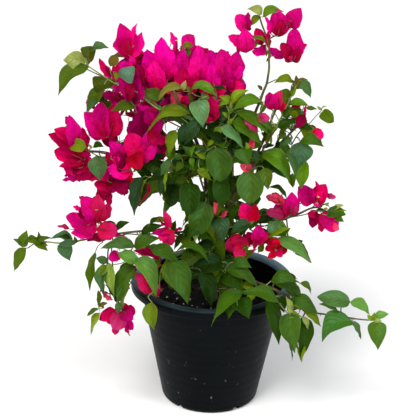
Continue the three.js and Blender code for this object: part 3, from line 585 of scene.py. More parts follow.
# ------------------------------------------------------------------ front leaves
# One row for each leaf that shows: where it starts and ends in the view, how
# wide it looks, its tone, then how much nearer (-) or further it lies than its
# group in mm, how far it is turned up (degrees), its arch, and how much nearer
# (-) its tip is than its foot in mm.  Shorter rows take usual values.
LEAVES = [
    ("top_left_shoot", -42, [
        (89, 67, 58, 97, 17, "q", -5, 40, .16, -8, .12), (85, 64, 63, 60, 20, "p", 3, 38, .14, 4, .08), (90, 62, 89, 46, 17, "k.flag", 1, 10, .04, 2),
        (92, 50, 109, 48, 9, "b", -3, 50, .22, -4), (88, 65, 84, 57, 4, "p", -3), (88, 65, 81, 59, 3, "p", -2), (89, 64, 87, 56, 3, "n", -3),
        (115, 82, 93, 85, 18, "k.flag", 2, 14, .06, -2), (103, 88, 86, 113, 14, "q", -1, 35, .1), (99, 97, 88, 113, 7, "b", -4, 40, .1), (110, 66, 117, 54, 11, "n", 6, 25),
        (119, 72, 134, 76, 19, "j.flag", -6, 14, .10, -2), (119, 80, 113, 71, 6, "y", 2), (136, 106, 111, 111, 12, "q", -2, 45, .08), (142, 100, 125, 102, 5, "e", 4)]),
    ("upper_left", -34, [
        (164, 97, 140, 92, 13, "q", 0, 30, .1), (183, 88, 157, 102, 8, "s", -8, 45, .22), (183, 90, 186, 80, 6, "p", -8), (188, 94, 192, 107, 4, "q", -6),
        (190, 113, 145, 135, 12, "o", -14, 55, .24, -10), (194, 122, 181, 116, 4, "v", -12, 50), (152, 104, 156, 93, 4, "g", -4), (180, 90, 172, 84, 5, "y", -4),
        (192, 93, 186, 86, 5, "n", -9), (186, 112, 178, 103, 8, "q", 4), (168, 106, 160, 113, 6, "p", 4)]),
    ("upper_centre", -34, [
        (190, 91, 217, 97, 10, "g", -6, 55, .30, -6), (198, 100, 203, 128, 21, "v", -16, 22, .1, -10), (232, 104, 249, 90, 9, "y", -2, 45, .18), (231, 103, 219, 96, 8, "y", -4, 40, .15),
        (262, 101, 233, 110, 12, "g", -8, 50, .22, -8), (230, 104, 218, 107, 5, "y", -6, 50, .25), (226, 108, 221, 125, 12, "c", 2, 20), (214, 88, 229, 92, 4, "e", -4, 50, .2),
        (206, 100, 202, 92, 7, "v", -10, 30), (209, 96, 200, 97, 4, "p", -10), (232, 103, 235, 116, 5, "m", 0), (243, 110, 230, 117, 7, "m", 2)]),
    ("cluster_leaf", 34, [
        (193, 46, 182, 51, 6, "o", 0, 40, .28, 0, .16), (187, 48, 189, 57, 6, "m", 1, 25)]),
    ("whip", 12, [
        (262, 14, 247, 9, 10, "p", -2, 40, .26), (263, 17, 284, 12, 10, "g", 4, 50, .30), (258, 15, 251, 26, 8, "o", 3, 20), (266, 44, 251, 38, 4, "g", -10, 50, .12),
        (258, 41, 251, 51, 6, "g", -2, 20), (268, 51, 266, 62, 3, "n", -8), (269, 50, 266, 57, 3, "n", -6), (262, 90, 257, 85, 4, "q", -4, 20)]),
    ("right_shoulder", 0, [
        (293, 83, 274, 83, 9, "o", -2, 50, .32), (297, 84, 296, 75, 5, "n", 0), (294, 86, 291, 79, 3, "n", 1), (302, 80, 311, 98, 11, "b", -4, 28, .12, -6), (298, 84, 308, 79, 6, "n", 3, 40),
        (291, 95, 276, 93, 10, "q", 4, 35, .15), (289, 103, 309, 106, 8, "g", -6, 45, .16), (306, 108, 317, 109, 5, "q", 0), (321, 110, 328, 106, 2, "p", 0), (321, 110, 317, 106, 3, "p", 0),
        (267, 105, 260, 114, 6, "q", -2, 30), (321, 113, 334, 122, 13, "q.disc", -2, 16, .08), (283, 117, 305, 110, 7, "m", -8, 45, .16), (299, 116, 306, 111, 6, "b", -4), (291, 96, 297, 88, 6, "o", 0), (287, 110, 291, 98, 5, "q", 2)]),
    ("right_upper", -8, [
        (278, 128, 298, 119, 10, "d", -4, 35, .1), (297, 126, 313, 130, 9, "d", -6, 40, .12), (300, 141, 324, 147, 13, "m", -12, 48, .26, -8), (286, 133, 277, 140, 6, "q", 0), (292, 139, 279, 147, 9, "b", -4, 40, .14),
        (300, 142, 299, 167, 25, "z", -16, 22, .1, -6), (263, 152, 291, 184, 18, "g", -22, 44, .20, -12), (287, 152, 294, 188, 7, "b", -25, 30, .12, -12), (270, 164, 292, 180, 13, "c", -6, 25, .08),
        (305, 160, 301, 189, 16, "g", -6, 20, .08, -6), (270, 133, 262, 119, 9, "q", -2), (272, 127, 264, 144, 6, "q", -3, 30), (277, 127, 270, 140, 4, "y", -2, 30), (281, 147, 276, 142, 6, "e", 4), (262, 148, 275, 145, 5, "d", -6), (258, 170, 268, 164, 7, "c", -2), (302, 128, 297, 119, 6, "d", 0)]),
    ("centre_top", -52, [
        (236, 113, 268, 134, 12, "h", -4, 45, .16), (232, 121, 262, 146, 17, "h", -10, 30, .1), (220, 127, 244, 149, 11, "v", -18, 30, .1, -8), (256, 115, 272, 131, 9, "h", 2, 35), (224, 139, 207, 134, 11, "e", -6, 20),
        (200, 121, 184, 146, 15, "c", -4, 20), (188, 124, 178, 145, 13, "c", 0, 20), (176, 130, 169, 157, 12, "y", 2, 20), (206, 122, 196, 133, 9, "d", 4), (222, 127, 213, 137, 8, "y", 2), (214, 140, 207, 147, 5, "y", -6, 30), (223, 148, 219, 140, 6, "g", -8, 30),
        (252, 128, 236, 126, 9, "g", 2), (262, 141, 250, 150, 8, "h", 2), (228, 141, 216, 152, 9, "m", -2, 35), (231, 147, 240, 140, 6, "d", 4), (228, 118, 222, 112, 4, "y", 6), (228, 115, 234, 108, 4, "g", 6), (227, 124, 234, 118, 5, "y", 4), (229, 110, 231, 101, 3, "p", 8), (222, 127, 207, 130, 6, "d", 8, 30), (219, 122, 208, 122, 4, "e", 10, 30)]),
    ("centre", -74, [
        (216, 148, 221, 182, 28, "m.ovate", -14, 20, .08, -6), (243, 148, 249, 165, 20, "m", -8, 25), (252, 150, 258, 162, 9, "c", -4), (206, 158, 194, 152, 8, "y", -8, 40), (193, 156, 182, 146, 7, "m", -6), (190, 157, 196, 145, 6, "g", -8, 20),
        (207, 151, 191, 154, 6, "c", -6, 45), (192, 157, 193, 168, 6, "g", -8), (248, 151, 246, 142, 5, "y", -12), (171, 160, 161, 176, 9, "b", -6, 30), (168, 170, 149, 181, 12, "e", 0, 25), (166, 172, 160, 198, 10, "c", -6, 25, .06),
        (168, 170, 165, 193, 4, "y", -10, 30), (190, 168, 170, 176, 10, "d", 0, 30), (197, 170, 212, 181, 8, "y", -14, 40), (199, 168, 206, 179, 7, "y", -16, 30), (183, 162, 176, 172, 8, "q", -4), (182, 156, 172, 158, 7, "m", -4, 40),
        (250, 172, 249, 204, 29, "l.ovate", -16, 18, .08, -8), (264, 168, 268, 190, 16, "q", -8, 20), (233, 176, 230, 190, 9, "e", 2), (204, 158, 196, 168, 8, "m", -2), (187, 178, 174, 183, 8, "q", 4)]),
    ("lower_centre", -76, [
        (143, 177, 134, 216, 14, "c", 26, 25, .08), (148, 178, 140, 205, 4, "y", 20, 20), (157, 181, 141, 205, 11, "q", 24, 20), (171, 184, 171, 207, 17, "e.disc", 12, 15, .06), (189, 183, 190, 214, 22, "d.disc", 2, 15, .08),
        (206, 202, 196, 234, 25, "m.disc", -8, 22, .12, -8), (205, 221, 186, 240, 18, "d", -4, 25), (218, 178, 223, 208, 19, "d", -8, 22), (220, 217, 224, 243, 20, "c", -6, 22), (251, 224, 230, 234, 13, "c", -6, 35, .12),
        (186, 211, 183, 226, 5, "q", 4, 20), (184, 235, 174, 250, 7, "d", 2, 25), (214, 245, 194, 247, 10, "e", 2, 35), (222, 238, 225, 265, 11, "q", 0, 25), (247, 245, 240, 263, 10, "q", 2, 25), (236, 206, 229, 222, 9, "d", 6),
        (214, 216, 224, 200, 9, "q", 2), (227, 236, 214, 229, 10, "e", 4), (206, 193, 197, 199, 8, "e", -2, 30)]),
    ("right_lower", -34, [
        (268, 188, 287, 199, 5, "d", 8, 40, .2), (276, 219, 256, 222, 8, "c", 4, 35, .1), (270, 215, 247, 225, 10, "c", -4, 35, .1), (273, 235, 275, 216, 14, "v", -12, 25, .08), (268, 238, 291, 228, 7, "y", -12, 45, .12), (276, 239, 312, 263, 14, "w", -14, 36, .12, -10),
        (263, 236, 277, 246, 7, "m", -6), (259, 252, 264, 243, 7, "o", -4), (250, 228, 262, 220, 7, "g", -8, 35), (283, 236, 291, 228, 5, "q", -6), (262, 212, 250, 214, 3, "q", 0)]),
    ("right_middle", -6, [
        (327, 212, 313, 212, 4, "e", 2, 45), (327, 215, 346, 215, 12, "m.ovate", -8, 30, .1, 0, .12), (335, 216, 344, 222, 8, "m", -7, 25), (333, 211, 344, 205, 5, "p", -2, 40), (333, 211, 347, 211, 4, "y", -4, 45), (329, 206, 323, 204, 3, "p", -4), (328, 209, 323, 209, 3, "p", -4)]),
    ("left_shoot", -62, [
        (26, 248, 14, 272, 12, "q", -2, 25, .12), (22, 247, 27, 230, 12, "q", 0, 20, .1), (43, 243, 22, 242, 7, "q", -1, 40, .14), (20, 243, 13, 239, 4, "b", 0, 30), (28, 239, 36, 237, 5, "q", 2, 40), (37, 241, 38, 231, 4, "q", 0, 20), (34, 243, 52, 238, 7, "q", -2, 50, .1),
        (34, 243, 48, 251, 9, "q", -3, 40, .1), (73, 241, 49, 240, 10, "z", 2, 36, .10, 0, .22), (71, 240, 58, 237, 5, "d", 1, 40, .12, 0, .2), (61, 242, 70, 261, 16, "z", -4, 25, .1, -4, 0.03), (76, 243, 57, 246, 8, "z", -6, 35, .1), (76, 243, 74, 236, 4, "q", 0), (40, 243, 48, 246, 4, "o", 1)]),
    ("left_mid", -42, [
        (86, 147, 69, 143, 14, "y.disc", -10, 20, .06), (93, 147, 104, 147, 7, "d", 0, 45, .38), (96, 156, 100, 181, 20, "b", -4, 20, .1, -6), (92, 148, 88, 144, 3, "p", 2), (116, 227, 103, 221, 6, "e", 4, 40, .1), (116, 229, 130, 222, 8, "d", -8, 40, .12),
        (150, 155, 160, 168, 9, "e", 14), (153, 162, 166, 154, 7, "e", 18), (131, 167, 143, 172, 5, "q", 4)]),
    ("low_left_inner_top", -66, [
        (141, 235, 166, 225, 10, "d", 0, 40, .10), (150, 223, 158, 217, 5, "d", 2, 40), (173, 231, 176, 220, 7, "d", -4, 20), (182, 228, 174, 233, 3, "e", 0)]),
    ("low_left", -112, [
        (135, 247, 100, 249, 13, "b", 8, 44, .16, 4), (134, 247, 161, 238, 14, "m", 8, 38, .14), (151, 249, 182, 266, 15, "m", -2, 42, .16, -8), (136, 259, 156, 298, 18, "w", -8, 36, .16, -10), (172, 261, 188, 304, 27, "m", -16, 22, .12, -14),
        (166, 260, 172, 288, 17, "o", -4, 20), (176, 252, 210, 264, 8, "m", -8, 52, .28, -8), (222, 262, 190, 271, 20, "e", 4, 28, .12), (201, 271, 211, 307, 19, "e", -6, 22, .1), (160, 262, 150, 268, 8, "q", 6), (118, 254, 143, 265, 13, "w", -6, 30, .08, -2)]),
    ("hanging_left", -98, [
        (95, 252, 90, 291, 9, "q", 8, 22, -.08, 0, .08), (108, 262, 96, 258, 9, "b", -2, 30, .1), (108, 265, 105, 297, 12, "b", 2, 22, .08, 0, .14), (106, 265, 98, 277, 6, "o", -4), (110, 263, 115, 299, 13, "x", -6, 20, .06, 0, 0.01), (106, 285, 117, 304, 6, "e", 2, 30),
        (136, 267, 118, 304, 17, "l", -8, 28, .12), (131, 283, 122, 311, 7, "y", -3, 30), (119, 302, 118, 314, 8, "b", -8), (98, 306, 98, 290, 5, "q", 0, 25), (99, 309, 87, 316, 5, "q", -2, 35, .14), (100, 313, 91, 336, 7, "y", -3, 28, .1),
        (99, 306, 108, 303, 5, "n", 0, 35), (104, 308, 100, 304, 3, "n", -2)]),
    ("over_rim", -131, [
        (243, 292, 211, 327, 15, "m", -6, 42, .16, -10), (279, 303, 239, 293, 14, "m", -4, 46, .18, 2), (226, 270, 259, 289, 14, "m", 20, 42, .14), (225, 273, 243, 292, 19, "d", 30, 25, .1), (240, 298, 249, 319, 19, "d", 6, 25, .1),
        (236, 309, 228, 319, 4, "m", -4), (266, 300, 279, 345, 16, "d", 16, 25, .1, -4), (233, 262, 252, 268, 13, "m", 34, 35, .14)]),
    ("lip_leaf", -118, [(152, 302, 154, 330, 16, "o", 0, 22, .12, -4)]),
    ("low_right", -102, [
        (271, 281, 299, 283, 14, "m", -4, 52, .30), (300, 283, 311, 295, 6, "q", -2, 35, .2), (273, 283, 302, 297, 12, "m", 6, 38, .1), (294, 297, 319, 315, 15, "m", 2, 34, .12), (279, 297, 284, 313, 10, "d", 8, 25), (290, 312, 286, 296, 8, "p", -6, 25),
        (300, 308, 321, 327, 9, "o", 0, 38, .12), (293, 306, 314, 311, 6, "y", -2, 45, .1), (291, 313, 295, 353, 23, "l.heart", -18, 22, .12, -8), (286, 317, 303, 318, 8, "y", -16, 50, .2), (302, 317, 308, 330, 6, "p", -14, 30), (279, 323, 292, 361, 11, "d", -6, 25, .08),
        (301, 318, 300, 360, 19, "d", -10, 25, .08, -4, -0.05), (305, 345, 302, 363, 8, "o", -13, 25), (292, 315, 288, 307, 5, "p", -16), (286, 330, 298, 352, 8, "d", -4)]),
    ("right_shoot", -82, [
        (350, 302, 317, 297, 18, "b.ovate", -2, 18, .05, 0, .03), (350, 302, 370, 316, 12, "w", -2, 28, .08, 0, .14), (352, 321, 322, 342, 23, "u", -16, 24, .08, -8, .24), (339, 313, 319, 304, 6, "b", -4, 30, .05, 0, .10), (351, 322, 361, 340, 6, "b", 0, 25, .06, 0, .16), 
        (377, 321, 378, 350, 20, "l.heart", -4, 18, .08, -6), (375, 317, 389, 314, 9, "w", 2, 35, .12), (372, 321, 367, 315, 5, "y", -2), (373, 321, 375, 312, 5, "y", 0), (373, 321, 382, 321, 5, "p", -3)]),
]

# ------------------------------------------------------------------ front bracts
# The same for the bracts: start, end, width, tone, and how much nearer (-) or
# further than the group, turn, arch, tip nearer or further.
BRACTS = [
    ("top_left", 22, [
        (130, 58, 120, 23, 25, "mw.fan", 0, 14, .10), (132, 58, 142, 32, 13, "ht.fan", -4, 18), (134, 46, 137, 23, 4, "ht", -3), (124, 48, 114, 42, 6, "mg", -1), (129, 56, 127, 38, 11, "cr", -8, 8), (132, 69, 119, 64, 12, "mg", -4), (134, 67, 130, 56, 8, "ht", -6)]),
    ("top_left_shoot_bit", -38, [(112, 76, 99, 58, 8, "cr", 0, 16, .05), (112, 77, 107, 66, 6, "dk", -2, 14)]),
    ("left_upper", 6, [
        (131, 101, 118, 76, 19, "pd", -48), (129, 104, 139, 78, 17, "pd", -46), (140, 93, 136, 63, 12, "dk", 8), (124, 102, 100, 93, 12, "pe", -6), (120, 92, 111, 84, 6, "mg", -2), (126, 100, 133, 84, 12, "cd", -54), (136, 100, 144, 86, 9, "pu", 4)]),
    ("top_centre", 52, [
        (157, 87, 147, 49, 22, "mg", -30, 12), (168, 80, 161, 37, 26, "mg", -22, 12), (176, 52, 170, 32, 6, "ht", 0), (173, 82, 176, 47, 18, "ht", 1, 12), (188, 64, 188, 34, 15, "mw.flag", 6, 12), (183, 84, 182, 46, 18, "mg", 0, 12),
        (198, 84, 198, 45, 22, "ht", -4, 12), (210, 85, 210, 50, 20, "mg", 1, 12), (222, 86, 221, 49, 21, "mw", -1, 12), (233, 84, 237, 51, 21, "mw", 2, 14), (232, 80, 244, 67, 12, "mg", -2), (229, 84, 244, 87, 15, "rp", -4),
        (152, 90, 141, 65, 14, "mg", -24), (161, 89, 153, 60, 19, "ht", -34, 14), (171, 91, 170, 61, 20, "cr", -7, 14), (190, 90, 189, 62, 19, "ht", -9, 14), (203, 89, 203, 63, 18, "rp", -7, 14), (214, 93, 211, 62, 18, "mg", -6, 14),
        (226, 90, 226, 60, 19, "pu", -7, 14), (181, 92, 178, 66, 16, "rp", -10, 14), (173, 93, 163, 83, 10, "co", -12), (153, 93, 140, 88, 7, "mg", -8), (190, 93, 196, 76, 13, "cr", -11), (217, 98, 225, 84, 11, "rp", -10), (207, 98, 204, 84, 10, "cr", -8),
        (191, 101, 192, 88, 5, "mg", -2), (180, 106, 172, 92, 14, "co", -14), (183, 107, 188, 95, 10, "cr", -12), (162, 111, 163, 98, 7, "mg", -10), (239, 92, 234, 76, 11, "ht", 2), (146, 86, 150, 66, 12, "rp", -26), (236, 88, 231, 70, 13, "pu", -8)]),
    ("centre_bits", -42, [
        (213, 122, 211, 96, 13, "cr", -4, 20), (211, 122, 206, 117, 7, "rp", -6), (258, 131, 244, 119, 7, "rs", -26), (250, 149, 253, 138, 7, "co", -26), (249, 171, 240, 165, 8, "co", -34), (250, 170, 247, 163, 6, "co", -33)]),
    ("pair", -22, [
        (106, 136, 84, 112, 21, "pu", 0, 16, .12), (105, 137, 102, 102, 19, "mw", -3, 12, .12), (107, 136, 118, 114, 23, "cr", -7, 14, .14), (107, 138, 95, 126, 14, "cr", -9), (109, 137, 112, 106, 19, "cr", -5, 12), (104, 137, 88, 124, 17, "pu", 2, 12)]),
    ("far_left", -30, [
        (77, 150, 69, 115, 17, "pu", 0, 14), (75, 147, 48, 134, 19, "cd.peak", -4, 16), (73, 143, 54, 129, 15, "cr", -1, 16), (84, 152, 82, 127, 10, "cr", 3), (85, 160, 54, 151, 18, "cr", -7, 18), (86, 156, 67, 174, 20, "cr", -3, 14), (80, 160, 83, 181, 21, "dk", 2, 12),
        (84, 177, 61, 180, 6, "pu", -3), (78, 149, 91, 156, 11, "cr", -1), (84, 164, 88, 177, 9, "cr", -2), (80, 168, 59, 167, 9, "cr", -9)]),
    ("left_group", -26, [
        (138, 141, 130, 121, 16, "pd", 8, 12), (143, 139, 141, 106, 18, "pd", 10, 12), (158, 109, 137, 105, 7, "ht", 4), (151, 134, 161, 113, 16, "pu", 4), (149, 131, 168, 141, 14, "cr", 1), (124, 158, 109, 141, 16, "pu", 2), (117, 142, 109, 135, 7, "cr", 4),
        (138, 161, 129, 133, 23, "rp", -5, 12), (137, 158, 157, 146, 16, "mw", -2), (132, 155, 141, 169, 20, "rk", -8, 14), (118, 169, 106, 152, 13, "cr", 1), (124, 172, 118, 151, 13, "dk", -3), (131, 172, 107, 168, 18, "ht", -10, 16), (130, 183, 130, 167, 9, "rd", -6),
        (115, 183, 94, 184, 13, "cr", -1), (119, 177, 123, 195, 17, "dk", 0, 12), (107, 180, 104, 197, 15, "cr", 2), (108, 181, 101, 171, 7, "ht", -4), (107, 188, 100, 206, 13, "cr", 6), (105, 187, 110, 206, 9, "cr", 8), (135, 113, 125, 114, 6, "dk", -2),
        (150, 152, 146, 132, 14, "pu", 1), (112, 160, 120, 158, 8, "ht", -7), (152, 124, 146, 110, 12, "pu", 6), (113, 185, 112, 174, 11, "dk", 2)]),
    ("low_left_group", -62, [
        (97, 223, 82, 197, 21, "pe", 0, 14), (99, 222, 98, 194, 18, "rt", -5, 12), (98, 221, 108, 203, 11, "rt", -2), (97, 231, 66, 216, 20, "pe", -6, 16), (97, 227, 71, 233, 15, "mw", -9, 16), (97, 228, 117, 231, 19, "rw", -10, 16), (106, 239, 112, 226, 12, "rt", -12),
        (109, 238, 87, 241, 8, "cd", -3), (69, 229, 57, 226, 5, "rs", -4), (81, 212, 73, 206, 5, "ht", -2), (86, 218, 80, 208, 8, "dk", -4), (90, 224, 88, 208, 12, "pu", -4)]),
    ("low_centre_bits", -80, [
        (168, 230, 163, 210, 8, "rw", 0, 20), (173, 232, 152, 233, 9, "pd", -1, 25), (171, 229, 168, 246, 15, "rw", -6, 14), (166, 231, 160, 241, 11, "rp", -4), (174, 231, 183, 229, 3, "cr", 0), (167, 226, 158, 218, 3, "cr", 1),
        (160, 257, 133, 251, 9, "cr", -18, 14), (160, 257, 158, 268, 7, "cr", -8), (148, 183, 141, 202, 3, "cr", 12), (216, 215, 214, 202, 6, "co", 4), (220, 217, 228, 211, 5, "co", 4)]),
    ("low_left_soil", -104, [
        (120, 253, 109, 260, 12, "mw", 8, 18), (137, 269, 127, 268, 7, "mw", 6), (151, 293, 135, 273, 16, "rw", -2, 18), (162, 291, 145, 284, 12, "cr", 0, 16), (155, 296, 160, 284, 9, "cr", 2), (138, 285, 150, 276, 12, "rp", -4)]),
    ("low_left_hanging", -100, [
        (118, 312, 99, 320, 14, "cr", 0, 18), (118, 313, 107, 323, 12, "rt", -2), (122, 311, 114, 330, 18, "rs", -8, 14), (122, 310, 133, 320, 15, "pd", -4, 14), (120, 309, 128, 305, 8, "cr", 0), (125, 312, 135, 309, 12, "cr", 0), (124, 318, 133, 330, 11, "pu", -2),
        (129, 322, 130, 336, 5, "cr", 0), (116, 327, 115, 335, 8, "rt", 2), (103, 291, 113, 300, 5, "co", 8)]),
    ("whip_left", 12, [
        (248, 31, 236, 15, 15, "mw", 2, 16), (249, 31, 248, 12, 8, "pd", 0), (243, 50, 228, 36, 12, "mw", 0), (246, 53, 244, 28, 18, "mw", -5, 12), (262, 45, 256, 28, 12, "cr", 4), (266, 46, 252, 52, 10, "pu", 2), (270, 47, 268, 30, 6, "cr", 6)]),
    ("whip_right", 14, [
        (279, 37, 276, 9, 21, "mw", -2, 14), (271, 34, 265, 17, 7, "mg", 0), (291, 28, 301, 8, 18, "pe", 0, 16), (286, 27, 294, 18, 11, "cd", -3), (294, 60, 295, 28, 19, "mw", -4, 14), (298, 50, 307, 44, 6, "cr", 0), (291, 62, 281, 43, 13, "cd", 0, 12), (293, 62, 300, 49, 11, "cd", -5, 12),
        (285, 57, 269, 48, 10, "pu", 4), (288, 60, 293, 56, 5, "rt", -6), (278, 36, 283, 20, 12, "cd", -5)]),
    ("right_shoulder_bits", -2, [
        (272, 110, 269, 92, 13, "pe", -2, 14), (278, 110, 281, 90, 12, "rw", -4, 14), (279, 110, 286, 104, 8, "rd", -6), (291, 107, 301, 106, 4, "rd", -2), (305, 115, 297, 128, 11, "dk", -16, 12), (305, 117, 306, 104, 3, "cr", -14), (312, 131, 323, 138, 12, "rp", 2),
        (255, 119, 270, 118, 10, "rs", -52), (254, 114, 249, 113, 3, "ht", -16), (275, 110, 276, 93, 9, "mw", -6, 12)]),
    ("right_flowers", -6, [
        (313, 203, 299, 188, 18, "pe", 0, 16), (315, 203, 326, 184, 18, "cr", -2, 16), (317, 199, 317, 207, 9, "mw", -4), (316, 191, 315, 181, 3, "cr", 0), (326, 196, 336, 197, 6, "rs", 0), (311, 203, 312, 188, 9, "pu", -3), (318, 203, 322, 190, 9, "rp", -5),
        (317, 211, 312, 228, 11, "dk", 0), (318, 214, 307, 214, 9, "cr", -1), (321, 213, 336, 231, 18, "pe", -4, 18), (330, 224, 339, 230, 8, "co", -6), (318, 214, 322, 232, 10, "cr", -2), (289, 216, 292, 192, 18, "mw.ovate", -2, 14), (287, 217, 282, 198, 8, "cr", 0),
        (291, 215, 297, 203, 9, "rs", -4), (284, 203, 266, 196, 10, "co", -24), (283, 204, 275, 192, 10, "co", -25), (284, 216, 266, 212, 11, "rs", -34), (285, 218, 277, 210, 7, "cr", -4), (281, 199, 272, 193, 6, "co", -7)]),
    ("centre_right_low", -60, [
        (256, 243, 259, 225, 15, "mw", -2, 14), (257, 244, 269, 233, 10, "cr", 0), (253, 244, 247, 232, 10, "cr", 2), (254, 238, 253, 253, 5, "cr", -3), (249, 240, 243, 233, 4, "ht", 2), (249, 247, 231, 237, 14, "rd", -12), (249, 247, 224, 246, 18, "rt", -15, 14), (244, 248, 235, 258, 15, "rt", -16),
        (250, 223, 242, 203, 17, "rp", -10, 14), (254, 222, 256, 204, 9, "rd", -12), (275, 249, 268, 239, 11, "rk", 0), (275, 249, 277, 238, 9, "rd", 1), (276, 250, 287, 247, 12, "rk", -1), (275, 249, 265, 249, 8, "rk", -2), (275, 251, 268, 258, 8, "rd", -2), (277, 250, 282, 257, 9, "cr", 0)]),
]

# Thin stems that show between the leaves, by view points and depth.
SHOOTS = [
    ("green", 1.3, .8, [(160, 110, -38), (150, 103, -38), (137, 92, -40), (114, 83, -42), (105, 77, -43), (97, 72, -43), (88, 66, -44)]),
    ("brown", 1.6, 1.0, [(192, 134, -30), (178, 122, -30), (165, 117, -28)]),
    ("green", 1.5, .9, [(57, 243, -60), (48, 242, -61), (38, 241, -62), (24, 242, -62)]),
    ("brown", 1.1, .8, [(48, 242, -61), (36, 243, -62), (28, 248, -62)]),
    ("brown", 1.4, .9, [(345, 317, -80), (357, 319, -81), (370, 320, -82), (376, 319, -83)]),
    ("brown", 1.0, .7, [(345, 317, -80), (341, 312, -80), (342, 306, -81), (349, 302, -83)]),
    ("green", 1.0, .7, [(304, 128, 2), (309, 124, 0), (316, 116, 0), (322, 110, 0)]),
    ("green", 1.9, 1.2, [(276, 128, -4), (284, 112, -2), (290, 99, 0), (296, 86, 0)]),
    ("brown", 1.2, .8, [(292, 144, -6), (296, 137, -6), (302, 129, -4)]),
    ("brown", 1.0, .7, [(269, 83, 12), (275, 80, 8), (282, 79, 4)]),
    ("brown", 1.0, .7, [(140, 235, -62), (128, 234, -58), (117, 236, -58), (108, 238, -60)]),
    ("brown", 1.4, .9, [(182, 232, -60), (165, 234, -62), (150, 234, -62), (139, 235, -62)]),
    ("green", 1.1, .8, [(139, 236, -70), (137, 241, -86), (134, 247, -100)]),
    ("green", 1.0, .7, [(133, 247, -100), (124, 262, -100), (110, 265, -98)]),
    ("brown", .8, .6, [(103, 242, -62), (98, 246, -76), (95, 253, -90)]),
    ("brown", .8, .5, [(101, 288, -96), (99, 297, -96), (99, 308, -98)]),
    ("green", 1.0, .7, [(156, 290, -112), (148, 297, -116), (152, 302, -119)]),
    ("brown", 1.2, .8, [(272, 224, -16), (282, 219, -10), (292, 217, -6), (303, 215, -4), (316, 211, -6)]),
    ("green", 1.0, .7, [(316, 211, -6), (330, 211, -8), (342, 211, -8)]),
    ("brown", 1.0, .8, [(311, 208, -2), (314, 206, -4), (315, 203, -6)]),
    ("green", 1.0, .7, [(261, 289, -110), (265, 286, -106), (271, 281, -104)]),
    ("green", 1.1, .8, [(276, 300, -108), (283, 308, -112), (290, 316, -118)]),
    ("green", 1.0, .8, [(226, 141, -54), (228, 125, -50), (229, 112, -44), (226, 104, -40)]),
    ("brown", 1.0, .7, [(217, 101, -20), (216, 92, 0), (213, 82, 20)]),
    ("brown", 1.0, .7, [(100, 157, -34), (92, 153, -36), (85, 149, -38)]),
    ("brown", 1.2, .9, [(160, 117, -38), (172, 123, -40), (188, 131, -44)]),
    ("green", .8, .6, [(163, 118, -38), (165, 124, -38), (166, 131, -36)]),
    ("brown", 1.0, .7, [(190, 131, -48), (200, 138, -60), (208, 149, -70)]),
    ("brown", 1.7, 1.3, [(198, 170, -46), (202, 184, -50), (207, 198, -54), (213, 214, -50)]),
    ("brown", 2.0, 1.7, [(212, 222, -26), (224, 210, -36), (238, 199, -40), (246, 190, -36)]),
    ("brown", 1.7, 1.3, [(250, 174, -34), (258, 158, -26), (267, 143, -16), (276, 128, -6)]),
    ("green", 1.1, .8, [(276, 128, -10), (271, 118, -8), (275, 108, -4)]),
    ("green", .9, .7, [(279, 121, -6), (276, 115, -4), (271, 109, -2)]),
    ("green", .9, .7, [(281, 119, -4), (282, 113, -4), (280, 108, -2)]),
    ("brown", .9, .6, [(292, 136, -6), (286, 131, -4), (281, 133, -2)]),
]

# Inner shoots that carry the high masses at the back, in mm.
FEEDERS = [
    (2.0, 1.5, [(-46, -19, 455), (-58, 24, 470), (-76, 66, 496)]),
    (2.0, 1.5, [(34, 12, 440), (26, 40, 462), (6, 70, 490)]),
]

# ------------------------------------------------------------------ stores
REGIONS = ("back_left", "back_right", "top_left", "top_right", "middle_left", "middle_right", "low_left", "low_right")
LEAF_STORES = {k: Store() for k in REGIONS}
BRACT_STORES = {k: Store() for k in REGIONS}
TWIG_STORES = {k: Store() for k in ("left", "right", "back")}
LIMB_STORE = Store()


def region(p):
    x, y, z = p / MM
    if y > 48:
        return "back_left" if x < -20 else "back_right"
    level = "top" if z > 425 else "middle" if z > 300 else "low"
    return level + ("_left" if x < -10 else "_right")


def twig_store(p):
    return TWIG_STORES["back" if p[1] > 0.048 else "left" if p[0] < 0 else "right"]


def bezier(p0, p1, p2, p3, n):
    t = np.linspace(0, 1, n)[:, None]
    return (1 - t) ** 3 * p0 + 3 * (1 - t) ** 2 * t * p1 + 3 * (1 - t) * t * t * p2 + t ** 3 * p3


class Skeleton:
    """Every point of the wood so far, with its direction and radius."""

    def __init__(self):
        self.p, self.d, self.r = np.zeros((80000, 3)), np.zeros((80000, 3)), np.zeros(80000)
        self.n = 0

    def add(self, line, radius):
        m = len(line)
        d = np.gradient(line, axis=0)
        self.p[self.n:self.n + m] = line
        self.d[self.n:self.n + m] = d / (np.linalg.norm(d, axis=1)[:, None] + 1e-12)
        self.r[self.n:self.n + m] = radius
        self.n += m

    def nearest(self, q, thick=0.0):
        dist = np.linalg.norm(self.p[:self.n] - q, axis=1) + np.where(self.r[:self.n] < thick, 1.0, 0.0)
        i = int(dist.argmin())
        return i, dist[i]


wood = Skeleton()


def twig(line, r0, r1, kind, sides=6, grow=True):
    """A thin round stem along line; kind is brown or green."""
    t = np.linspace(0, 1, len(line))
    radius = r0 + (r1 - r0) * t
    tube(twig_store(line[len(line) // 2]), line, radius, sides, 1 if kind == "brown" else 2)
    if grow:
        wood.add(line, radius)


